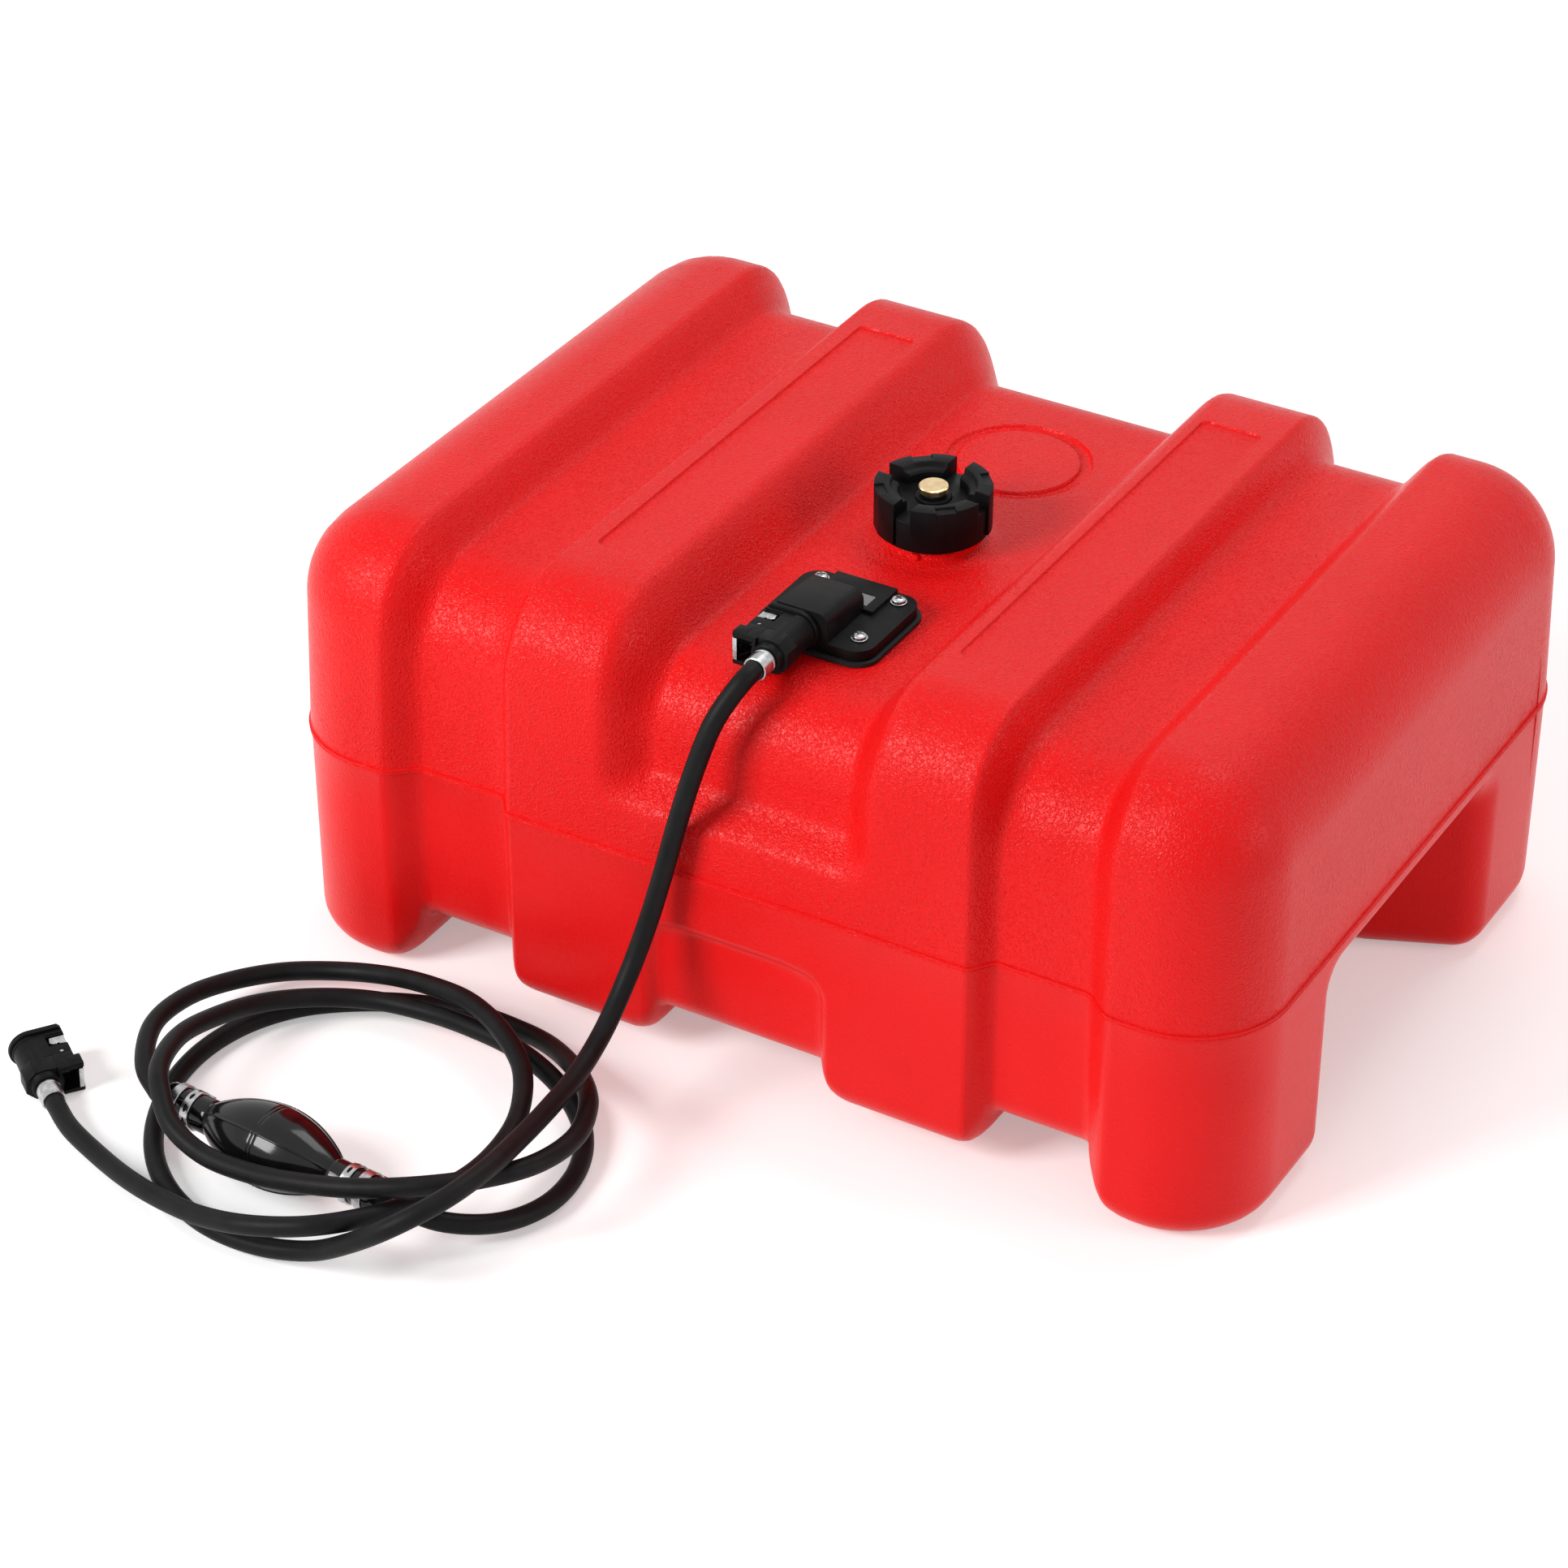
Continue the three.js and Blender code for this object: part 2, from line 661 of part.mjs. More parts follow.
// The housing over the outlet, lower and rounder towards the back
const HOUSING = {
  left: -20.3,
  right: 13.2,
  back: FITTING.platformFront,
  frontRise: 28.5,
  backRise: 24.5,
  edge: 7,
};
HOUSING.frontTop = FLOOR + HOUSING.frontRise;
HOUSING.backTop = FLOOR + HOUSING.backRise;
// The gauge: window, pointer and float on one shaft
const WINDOW = { x: 14, front: -107.1, back: -95.5, thick: 2 };
const SHAFT = { drop: 5.5, radius: 2, front: -121, back: -99.6 };
SHAFT.z = FLOOR - SHAFT.drop;
const POINTER = {
  y: -102,
  thick: 2,
  hub: 4.6,
  reach: 14.8,
  wide: 3,
  slotX: 13,
  slotY: 3.4,
  rest: 35, // degrees from upright
};
const LUG = { back: -106, middle: -117, thick: 3, halfWidth: 6, below: 4.4 };
const ARM = {
  y: -113,
  hub: 4.5,
  hubWide: 6.2,
  rod: 1.6,
  clear: 42, // how much shorter the arm is than its shaft is high
  stop: 3,
  stopThick: 2,
  rest: 75, // degrees below level, with the tank empty
};
ARM.length = SHAFT.z - ARM.clear;
const FLOAT = { radius: 13, length: 44, fromEnd: 24, rounding: 3 };
FLOAT.at = ARM.length - FLOAT.fromEnd;
// The pickup: a boss under the fitting, a tube and its strainer
const PICKUP = {
  x: -4,
  y: -128,
  boss: 6.5,
  bossDrop: 12.5,
  passage: 2.6,
  tube: 4,
  tubeBore: 2.8,
  insert: 10,
  tubeBase: 46,
  strainer: 8,
  strainerTop: 64,
  strainerBase: 40,
  strainerWall: 1.6,
  collar: 6,
};
PICKUP.bossBase = FLOOR - PICKUP.bossDrop;

function fittingBody() {
  const depth = FITTING.halfDepth;
  const wide = FITTING.halfWidth;
  const corner = FITTING.corner;
  const flange = roundedRectangle(-wide, FITTING.y - depth, wide, FITTING.y + depth, corner);
  const raised = roundedRectangle(
    -wide,
    FITTING.platformFront,
    wide,
    FITTING.y + depth,
    corner,
  );
  const square = box(
    [-wide, FITTING.platformFront, FLANGE_TOP - FITTING.platform],
    [wide, FITTING.platformFront + corner, PLATFORM_TOP],
  );
  const ringBase = FLOOR - FITTING.ringDeep;
  const ringOuter = FITTING.opening - GAP;
  let made = joined(
    plate(flange, FLANGE_BASE, FLANGE_TOP),
    plate(raised, FLANGE_TOP - FITTING.platform, PLATFORM_TOP),
    square,
    housing(),
    ring(
      ringOuter - FITTING.ringThick,
      ringOuter,
      ringBase,
      FLANGE_BASE + FITTING.platform,
      FINE,
      0,
      FITTING.centreY,
    ),
    round(PICKUP.boss, PICKUP.bossBase, FLANGE_TOP, SMALL, PICKUP.x, PICKUP.y),
  );
  for (const y of [LUG.middle, LUG.back]) {
    const lug = box(
      [-LUG.halfWidth, y - LUG.thick, SHAFT.z - LUG.below],
      [LUG.halfWidth, y, FLANGE_TOP],
    );
    made = made.add(lug);
  }
  const shaftHole = SHAFT.radius + GAP;
  const front = OUTLET.front - OVERRUN;
  const cuts = [
    roundAlongY(shaftHole, SHAFT.front - OVERRUN, SHAFT.back, SMALL, 0, SHAFT.z),
    // the pointer's slot and the window's seat over it
    box(
      [-POINTER.slotX, POINTER.y - POINTER.slotY, FLANGE_BASE - OVERRUN],
      [POINTER.slotX, POINTER.y + POINTER.slotY, PLATFORM_TOP + OVERRUN],
    ),
    box(
      [-WINDOW.x, WINDOW.front, PLATFORM_TOP - WINDOW.thick - GAP],
      [WINDOW.x, WINDOW.back, PLATFORM_TOP + OVERRUN],
    ),
    // the fuel's way from the pickup tube to the spigot
    roundAlongY(PICKUP.passage, front, PICKUP.y, SMALL, OUTLET.x, OUTLET.z),
    round(PICKUP.passage, PICKUP.bossBase, OUTLET.z, SMALL, PICKUP.x, PICKUP.y),
    round(
      PICKUP.tube + GAP,
      PICKUP.bossBase - OVERRUN,
      PICKUP.bossBase + PICKUP.insert,
      SMALL,
      PICKUP.x,
      PICKUP.y,
    ),
    roundAlongY(OUTLET.spigot + GAP, front, OUTLET.front + OUTLET.seat, SMALL, OUTLET.x, OUTLET.z),
    roundAlongY(OUTLET.post + GAP, front, OUTLET.front + OUTLET.seat, SMALL, OUTLET.postX, OUTLET.z),
  ];
  for (const [x, y] of screwPlaces) {
    cuts.push(round(SCREW.shank + GAP, FLANGE_BASE - OVERRUN, PLATFORM_TOP, SMALL, x, y));
    cuts.push(round(FITTING.spotFace, FLANGE_TOP, OUTLET.z, MEDIUM, x, y));
  }
  return cuts.reduce((left, cut) => left.subtract(cut), made);
}

// The outlet housing, drawn from the side and rounded along its right edge.
function housing() {
  const side = new THREE.Shape([
    new THREE.Vector2(OUTLET.front, FLANGE_TOP - FITTING.platform),
    new THREE.Vector2(HOUSING.back, FLANGE_TOP - FITTING.platform),
    new THREE.Vector2(HOUSING.back, HOUSING.backTop),
    new THREE.Vector2(OUTLET.front, HOUSING.frontTop),
  ]);
  const options = { depth: HOUSING.right - HOUSING.left, bevelEnabled: false };
  const along = solid(new THREE.ExtrudeGeometry(side, options));
  const placed = along.rotate([90, 0, 90]).translate([HOUSING.left, 0, 0]);
  const across = new THREE.Shape();
  const low = FLANGE_TOP - FITTING.platform - OVERRUN;
  across.moveTo(HOUSING.left, low);
  across.lineTo(HOUSING.right, low);
  across.lineTo(HOUSING.right, HOUSING.frontTop - HOUSING.edge);
  across.absarc(
    HOUSING.right - HOUSING.edge,
    HOUSING.frontTop - HOUSING.edge,
    HOUSING.edge,
    0,
    Math.PI / 2,
  );
  across.lineTo(HOUSING.left, HOUSING.frontTop);
  const length = HOUSING.back + 2 * OVERRUN - OUTLET.front;
  const bar = solid(
    new THREE.ExtrudeGeometry(across, { depth: length, bevelEnabled: false, curveSegments: 4 }),
  );
  return placed.intersect(bar.rotate([90, 0, 0]).translate([0, HOUSING.back + OVERRUN, 0]));
}
add("fitting_body", fittingBody(), blackPlastic());

function fittingGasket() {
  const wide = FITTING.halfWidth + FITTING.gasketMore;
  const depth = FITTING.halfDepth + FITTING.gasketMore;
  const corner = FITTING.corner + FITTING.gasketMore;
  const outline = roundedRectangle(-wide, FITTING.y - depth, wide, FITTING.y + depth, corner);
  const top = GASKET_BASE + FITTING.gasketThick;
  let made = plate(outline, GASKET_BASE, top);
  made = made.subtract(
    round(FITTING.opening, GASKET_BASE - OVERRUN, top + OVERRUN, FINE, 0, FITTING.centreY),
  );
  for (const [x, y] of screwPlaces) {
    const hole = SCREW.shank + GAP;
    made = made.subtract(round(hole, GASKET_BASE - OVERRUN, top + OVERRUN, SMALL, x, y));
  }
  return made;
}
add("fitting_gasket", fittingGasket(), blackRubber());

screwPlaces.forEach(([x, y], i) => {
  const washerTop = FLANGE_TOP + GAP + WASHER.thick;
  const headBase = washerTop + GAP;
  const headTop = headBase + SCREW.headHeight;
  const shank = round(SCREW.shank, headBase - SCREW.length, headTop, SMALL, x, y);
  const slot = box(
    [x - SCREW.head, y - SCREW.slotWide / 2, headTop - SCREW.slotDeep],
    [x + SCREW.head, y + SCREW.slotWide / 2, headTop + OVERRUN],
  );
  const screw = shank.add(round(SCREW.head, headBase, headTop, SMALL, x, y)).subtract(slot);
  add(`fitting_screw_${i + 1}`, screw, steel());
  add(
    `screw_washer_${i + 1}`,
    ring(SCREW.shank + GAP, WASHER.outer, FLANGE_TOP + GAP, washerTop, SMALL, x, y),
    steel(),
  );
  add(
    `threaded_insert_${i + 1}`,
    ring(SCREW.shank + GAP, INSERT.outer, FLOOR - INSERT.length, FLOOR, SMALL, x, y),
    brass(),
  );
});

add(
  "gauge_window",
  box(
    [-WINDOW.x + GAP, WINDOW.front + GAP, PLATFORM_TOP - WINDOW.thick],
    [WINDOW.x - GAP, WINDOW.back - GAP, PLATFORM_TOP],
  ),
  clearPlastic(),
);

// Pieces of the gauge are drawn about the shaft's axis, the arm pointing to +X.
const onShaft = (made) => made.translate([0, 0, SHAFT.z]);
function floatArm() {
  const along = (radius, from, to) =>
    round(radius, from, to, SMALL).rotate([0, 90, 0]).translate([0, ARM.y, 0]);
  const arm = joined(
    roundAlongY(SHAFT.radius, SHAFT.front, SHAFT.back, SMALL),
    roundAlongY(ARM.hub, ARM.y - ARM.hubWide / 2, ARM.y + ARM.hubWide / 2, SMALL),
    along(ARM.rod, 0, ARM.length),
    along(ARM.stop, ARM.length - ARM.stopThick, ARM.length),
  );
  return onShaft(arm.rotate([0, ARM.rest, 0]));
}
add("float_arm", floatArm(), steel());

function floatPiece() {
  const [near, far] = [FLOAT.at - FLOAT.length / 2, FLOAT.at + FLOAT.length / 2];
  const end = FLOAT.radius - FLOAT.rounding;
  const bore = ARM.rod + GAP;
  const made = turned(
    [
      [bore, near],
      [end, near],
      [FLOAT.radius, near + FLOAT.rounding],
      [FLOAT.radius, far - FLOAT.rounding],
      [end, far],
      [bore, far],
    ],
    MEDIUM,
  );
  return onShaft(made.rotate([0, 90, 0]).translate([0, ARM.y, 0]).rotate([0, ARM.rest, 0]));
}
add("float", floatPiece(), cork());

function gaugePointer() {
  const from = POINTER.y - POINTER.thick / 2;
  const to = from + POINTER.thick;
  const hub = roundAlongY(POINTER.hub, from, to, SMALL);
  const hand = box([-POINTER.wide / 2, from, 0], [POINTER.wide / 2, to, POINTER.reach]);
  const hole = roundAlongY(SHAFT.radius + GAP, from - OVERRUN, to + OVERRUN, SMALL);
  return onShaft(hub.add(hand).subtract(hole).rotate([0, POINTER.rest, 0]));
}
add("gauge_pointer", gaugePointer(), redPlastic());

add(
  "pickup_tube",
  ring(
    PICKUP.tubeBore,
    PICKUP.tube,
    PICKUP.tubeBase,
    PICKUP.bossBase + PICKUP.insert - GAP,
    SMALL,
    PICKUP.x,
    PICKUP.y,
  ),
  whitePlastic(),
);
add(
  "pickup_strainer",
  turned(
    [
      [0, PICKUP.strainerBase],
      [PICKUP.strainer, PICKUP.strainerBase],
      [PICKUP.strainer, PICKUP.strainerTop - PICKUP.strainerWall],
      [PICKUP.collar, PICKUP.strainerTop],
      [PICKUP.tube + GAP, PICKUP.strainerTop],
      [PICKUP.tube + GAP, PICKUP.tubeBase - GAP],
      [PICKUP.tube - PICKUP.strainerWall, PICKUP.tubeBase - GAP],
      [PICKUP.tube - PICKUP.strainerWall, PICKUP.strainerBase + PICKUP.strainerWall],
      [0, PICKUP.strainerBase + PICKUP.strainerWall],
    ],
    SMALL,
    PICKUP.x,
    PICKUP.y,
  ),
  whitePlastic(),
);

const spigotSeat = OUTLET.front + OUTLET.seat - GAP;
const spigotEnd = OUTLET.front - OUTLET.spigotLength;
const spigotBore = roundAlongY(
  OUTLET.spigotBore,
  spigotEnd - OVERRUN,
  spigotSeat + OVERRUN,
  SMALL,
  OUTLET.x,
  OUTLET.z,
);
const spigot = roundAlongY(OUTLET.spigot, spigotEnd, spigotSeat, SMALL, OUTLET.x, OUTLET.z);
add("outlet_spigot", spigot.subtract(spigotBore), brass());
function latchPost() {
  const end = OUTLET.front - OUTLET.postLength;
  const groove = OUTLET.front - OUTLET.grooveIn - OUTLET.grooveWide;
  const place = [SMALL, OUTLET.postX, OUTLET.z];
  return joined(
    roundAlongY(OUTLET.groove, end, spigotSeat, ...place),
    roundAlongY(OUTLET.post, end, groove, ...place),
    roundAlongY(OUTLET.post, groove + OUTLET.grooveWide, spigotSeat, ...place),
  );
}
add("latch_post", latchPost(), steel());

// A hose connector, drawn with its mouth facing +Y at the origin and its latch at -X.
const CONNECTOR = {
  length: 40,
  left: -20,
  right: 12.5,
  half: 12.5,
  flange: 3.5,
  flangeCorner: 2,
  barrel: 10.8,
  bore: 4.4,
  boreDeep: 24,
  passage: 2.4,
  caseHalf: 10.5,
  caseInner: 7.8,
  caseEnd: -24,
  block: 36, // from the mouth to the block's rear face
  blockLeft: -8,
  blockRight: 12,
  blockChamfer: 6,
  earLeft: -20,
  earInner: 7.5,
  earEnd: -38,
  boss: 9,
  barb: 3.7,
  barbLength: 12,
  windowLeft: -17.5,
  windowRight: -8.8,
  windowBack: -14.4,
  windowFront: -6,
  slotRight: -6,
  slotBack: -12.8,
  slotFront: -7.8,
  postX: OUTLET.postX - OUTLET.x,
};
const ORING = { back: -19.6, front: -16.8, inner: OUTLET.spigot + GAP, outer: 6.4, seat: 6.7 };
const LATCH = {
  left: -19.4,
  thick: 1.2,
  half: 6.5,
  back: -38.6,
  front: -7.9,
  tongueBack: -11.2,
  tongueFront: -9.8,
  tongueRight: -6.4,
  hole: 3.1,
  holeX: -10.5,
  lugRight: -12.2,
  lugThick: 1.4,
  lugReach: 2.4,
  pinX: -14.6,
  pinY: -22,
  pin: 1.1,
  pinHalf: 10,
};
const FERRULE = { inner: HOSE_DIAMETER / 2 + GAP, outer: 7.4, length: 12 };

// A bar along Y with a flat outline in X and Z.
function barAlongY(outline, y0, y1, arcSteps = 5) {
  return plate(outline, 0, y1 - y0, arcSteps).rotate([90, 0, 0]).translate([0, y1, 0]);
}

function connectorBody() {
  const c = CONNECTOR;
  const face = new THREE.Shape();
  face.moveTo(c.left + c.flangeCorner, -c.half);
  face.lineTo(c.right - c.half, -c.half);
  face.absarc(c.right - c.half, 0, c.half, -Math.PI / 2, Math.PI / 2);
  face.lineTo(c.left + c.flangeCorner, c.half);
  face.lineTo(c.left, c.half - c.flangeCorner);
  face.lineTo(c.left, -c.half + c.flangeCorner);
  const chamfered = new THREE.Shape(
    [
      [c.blockLeft, -c.caseHalf],
      [c.blockRight - c.blockChamfer, -c.caseHalf],
      [c.blockRight, -c.caseHalf + c.blockChamfer],
      [c.blockRight, c.caseHalf - c.blockChamfer],
      [c.blockRight - c.blockChamfer, c.caseHalf],
      [c.blockLeft, c.caseHalf],
    ].map(([x, z]) => new THREE.Vector2(x, z)),
  );
  let made = joined(
    barAlongY(face, -c.flange, 0),
    roundAlongY(c.barrel, -c.block, -c.flange / 2, MEDIUM),
    box([c.left, c.caseEnd, -c.caseHalf], [0, -c.flange / 2, c.caseHalf]),
    barAlongY(chamfered, -c.block, c.caseEnd),
    box([c.earLeft, c.earEnd, -c.caseHalf], [c.blockLeft, c.caseEnd, c.caseHalf]),
    roundAlongY(c.boss, -c.length, -c.block + OVERRUN, MEDIUM),
    roundAlongY(c.barb, -c.length - c.barbLength, -c.length + OVERRUN, SMALL),
  );
  // the latch's hollow, between the ears and in front of them
  const hollow = box(
    [c.left - OVERRUN, c.earEnd - OVERRUN, -c.earInner],
    [c.blockLeft - OVERRUN, -c.flange, c.earInner],
  ).subtract(roundAlongY(c.barrel, c.earEnd - OVERRUN, 0, MEDIUM));
  const windows = box(
    [c.windowLeft, c.windowBack, -c.half - OVERRUN],
    [c.windowRight, c.windowFront, c.half + OVERRUN],
  ).subtract(roundAlongY(c.barrel, c.windowBack, 0, MEDIUM));
  const cuts = [
    hollow,
    windows,
    box([c.left, c.slotBack, -c.earInner], [c.slotRight, c.slotFront, c.earInner]),
    roundAlongY(c.bore, -c.boreDeep, OVERRUN, SMALL),
    roundAlongY(c.passage, -c.length - c.barbLength - OVERRUN, 0, SMALL),
    roundAlongY(ORING.seat, ORING.back - GAP, ORING.front + GAP, MEDIUM),
    roundAlongY(OUTLET.post + GAP, -OUTLET.postLength - OVERRUN, OVERRUN, SMALL, c.postX),
    round(LATCH.pin + GAP, -c.half, c.half, SMALL, LATCH.pinX, LATCH.pinY),
  ];
  for (const cut of cuts) made = made.subtract(cut);
  return made;
}

// The latch is one bent strip: a side plate, two lugs for the pin and the tongue.
function latch() {
  const inside = LATCH.left + LATCH.thick;
  const reach = LATCH.lugReach;
  let made = joined(
    box([LATCH.left, LATCH.back, -LATCH.half], [inside, LATCH.front, LATCH.half]),
    box(
      [LATCH.left, LATCH.tongueBack, -LATCH.half],
      [LATCH.tongueRight, LATCH.tongueFront, LATCH.half],
    ),
  );
  for (const low of [-LATCH.half, LATCH.half - LATCH.lugThick]) {
    made = made.add(
      box(
        [LATCH.left, LATCH.pinY - reach, low],
        [LATCH.lugRight, LATCH.pinY + reach, low + LATCH.lugThick],
      ),
    );
  }
  const hole = roundAlongY(
    LATCH.hole,
    LATCH.tongueBack - OVERRUN,
    LATCH.tongueFront + OVERRUN,
    SMALL,
    LATCH.holeX,
  );
  const pinHole = round(LATCH.pin + GAP, -LATCH.half, LATCH.half, SMALL, LATCH.pinX, LATCH.pinY);
  return made.subtract(hole).subtract(pinHole);
}

// The connector's pieces in a group of their own, which is then put in its place.
function connector(prefix) {
  const group = new THREE.Group();
  tank.add(group);
  add(`${prefix}_connector_body`, connectorBody(), blackPlastic(), group);
  add(`${prefix}_connector_latch`, latch(), steel(), group);
  const half = LATCH.pinHalf;
  const pin = round(LATCH.pin, -half, half, SMALL, LATCH.pinX, LATCH.pinY);
  add(`${prefix}_connector_pin`, pin, steel(), group);
  const seal = roundAlongY(ORING.outer, ORING.back, ORING.front, MEDIUM);
  const through = roundAlongY(ORING.inner, ORING.back - OVERRUN, ORING.front + OVERRUN, MEDIUM);
  add(`${prefix}_connector_oring`, seal.subtract(through), blackRubber(), group);
  const end = -CONNECTOR.length - GAP;
  const sleeve = roundAlongY(FERRULE.outer, end - FERRULE.length, end, MEDIUM);
  const hole = roundAlongY(FERRULE.inner, end - FERRULE.length - OVERRUN, end + OVERRUN, MEDIUM);
  add(`${prefix}_ferrule`, sleeve.subtract(hole), steel(), group);
  return group;
}
const atTank = connector("tank");
atTank.position.set(OUTLET.x, OUTLET.front - GAP, OUTLET.z);

// The engine's connector lies on the ground, its latch side a little raised
const ENGINE_END = { x: -375.5, y: -425.7, z: 14.2, heading: 54.7, rise: 4.9, roll: 180 };
const atEngine = connector("engine");
atEngine.position.set(ENGINE_END.x, ENGINE_END.y, ENGINE_END.z);
atEngine.rotation.set(
  THREE.MathUtils.degToRad(ENGINE_END.rise),
  THREE.MathUtils.degToRad(ENGINE_END.roll),
  THREE.MathUtils.degToRad(ENGINE_END.heading),
  "ZXY",
);
tank.updateMatrixWorld(true);

// The primer bulb lies along the line between its two ends
const BULB = {
  x: -183.6,
  y: -442,
  z: 25.8,
  turn: -4.8, // degrees from X
  half: BULB_LENGTH / 2,
  wall: 3.2,
  collar: 33,
  collarRadius: 10.8,
  hoseIn: 13,
};
const BULB_STATION_SHARES = [-1, -0.87, -0.7, -0.5, -0.25, 0, 0.25, 0.5, 0.7, 0.87, 1];
const BULB_RADIUS_SHARES = [0.42, 0.59, 0.75, 0.88, 0.97, 1, 0.97, 0.88, 0.75, 0.59, 0.42];
const HOSE_END_RADIUS = HOSE_DIAMETER / 2 + GAP;
const VALVE = { body: HOSE_DIAMETER / 2, length: 17, barb: 3.7, barbLength: 11, bore: 2.2 };
const CLAMP = { inner: BULB.collarRadius + GAP, wall: 0.9, width: 6, ear: 3, earHalf: 2.4 };
const CLAMP_PLACES = [9, 20]; // from the collar's end to each clamp's middle

// Pieces of the bulb are drawn about the bulb's middle along X, then turned into place.
const onBulb = (made) => made.rotate([0, 0, BULB.turn]).translate([BULB.x, BULB.y, BULB.z]);
const bulbEnd = BULB.half + BULB.collar;
function turnedAlongX(points, sides) {
  return turned(points, sides).rotate([0, 90, 0]);
}
function primerBulb() {
  const outline = BULB_STATION_SHARES.map((share, i) => [
    (BULB_DIAMETER / 2) * BULB_RADIUS_SHARES[i],
    BULB.half * share,
  ]);
  const hollow = outline.slice(1, -1).map(([r, z]) => [r - BULB.wall, z]);
  const points = [
    [BULB.collarRadius, -bulbEnd],
    ...outline,
    [BULB.collarRadius, bulbEnd],
    [HOSE_END_RADIUS, bulbEnd],
    [HOSE_END_RADIUS, BULB.half],
    ...hollow.reverse(),
    [HOSE_END_RADIUS, -BULB.half],
    [HOSE_END_RADIUS, -bulbEnd],
  ];
  return onBulb(turnedAlongX(points, MEDIUM));
}
add("primer_bulb", primerBulb(), blackRubber());

[-1, 1].forEach((side) => {
  const hoseEnd = bulbEnd - BULB.hoseIn;
  const back = hoseEnd - GAP - VALVE.length;
  const valve = turnedAlongX(
    [
      [VALVE.bore, side * back],
      [VALVE.body, side * back],
      [VALVE.body, side * (hoseEnd - GAP)],
      [VALVE.barb, side * (hoseEnd - GAP)],
      [VALVE.barb, side * (hoseEnd + VALVE.barbLength)],
      [VALVE.bore, side * (hoseEnd + VALVE.barbLength)],
    ],
    SMALL,
  );
  add(side > 0 ? "bulb_inlet_valve" : "bulb_outlet_valve", onBulb(valve), brass());
  CLAMP_PLACES.forEach((fromEnd, i) => {
    const middle = side * (bulbEnd - fromEnd);
    const [near, far] = [middle - CLAMP.width / 2, middle + CLAMP.width / 2];
    const outer = CLAMP.inner + CLAMP.wall;
    const band = turnedAlongX(
      [
        [CLAMP.inner, near],
        [outer, near],
        [outer, far],
        [CLAMP.inner, far],
      ],
      MEDIUM,
    );
    const ear = box(
      [near, outer - CLAMP.wall / 2, -CLAMP.earHalf],
      [far, outer + CLAMP.ear, CLAMP.earHalf],
    );
    const number = side > 0 ? i + 1 : i + 1 + CLAMP_PLACES.length;
    add(`hose_clamp_${number}`, onBulb(band.add(ear)), steel());
  });
});

// The hoses' middle lines in the photo's lay, hand-chosen, each from the tank's side on
const TANK_HOSE_ROUTE = [
  [-4.6, -213, 275.6], [-9.5, -222, 266], [-15, -231, 252], [-22, -240, 224],
  [-30, -246, 189], [-38, -249, 154], [-46, -254, 119], [-51, -269, 88],
  [-51, -296, 66], [-48, -330, 57], [-44, -366, 58], [-40, -402, 62],
  [-37, -438, 67], [-43, -472, 66], [-62, -495, 55], [-90, -499, 34],
  [-120, -498, 15], [-155, -501, 7], [-190, -500, 6.4], [-223, -488, 6.4],
  [-252, -466, 6.4], [-273, -437, 6.4], [-286, -404, 6.4], [-290, -368, 6.4],
  [-283, -333, 6.4], [-265, -303, 6.4], [-237, -280, 6.4], [-205, -264, 6.4],
  [-170, -255, 6.4], [-135, -258, 9], [-113, -266, 14], [-85, -285, 24],
  [-59, -308, 34], [-37, -336, 42], [-25, -369, 46], [-29, -403, 49],
  [-47, -434, 52], [-74, -458, 52], [-106, -471, 47], [-141, -476, 40],
  [-177, -476, 33], [-212, -473, 31], [-238, -466, 37], [-255, -452, 44],
  [-268, -436, 46], [-281, -400, 41], [-281, -365, 33], [-272, -331, 25],
  [-251, -303, 19], [-221, -286, 17], [-185, -282, 19], [-150, -286, 23],
  [-114, -292, 24], [-80, -301, 17], [-52, -320, 9], [-36, -350, 6.4],
  [-33, -386, 7], [-45, -419, 11], [-70, -442, 18],
];
const ENGINE_HOSE_ROUTE = [
  [-291, -421, 27.5], [-312, -386, 28], [-316, -350, 24], [-309, -315, 17],
  [-290, -286, 13], [-260, -269, 14], [-224, -265, 21], [-189, -271, 30],
  [-155, -281, 37], [-123, -297, 39], [-94, -319, 36], [-76, -349, 32],
  [-70, -372, 30], [-69, -408, 30], [-76, -444, 34], [-90, -477, 38],
  [-114, -503, 39], [-146, -513, 33], [-182, -511, 23], [-216, -503, 15],
  [-250, -493, 10], [-284, -480, 7], [-312, -469, 8],
];
// The outlet's height that the route was read at, and where the hose starts to rise to it
const ROUTE = { outlet: 277, rise: [80, 277] };
// Each end runs straight, further in the bulb, where it starts inside the collar.
const HOSE = { step: 17, straight: 16, bulbStraight: 22, boreDeep: 14 };

// A point on a connector's or the bulb's axis, in the tank's frame.
const fromConnector = (group, y) => group.localToWorld(new THREE.Vector3(0, y, 0));
function fromBulb(x) {
  const turn = THREE.MathUtils.degToRad(BULB.turn);
  return new THREE.Vector3(BULB.x + x * Math.cos(turn), BULB.y + x * Math.sin(turn), BULB.z);
}
const connectorHoseEnd = -CONNECTOR.length - GAP;
const connectorHoseStraight = connectorHoseEnd - HOSE.straight;
const bulbHoseEnd = bulbEnd - BULB.hoseIn;
const bulbHoseStraight = bulbHoseEnd + HOSE.bulbStraight;
const lifted = (z) => z + (OUTLET.z - ROUTE.outlet) * ease(z, ROUTE.rise);
const routed = (places) => places.map(([x, y, z]) => new THREE.Vector3(x, y, lifted(z)));
const tankHosePath = [
  fromConnector(atTank, connectorHoseEnd),
  fromConnector(atTank, connectorHoseStraight),
  ...routed(TANK_HOSE_ROUTE),
  fromBulb(bulbHoseStraight),
  fromBulb(bulbHoseEnd),
];
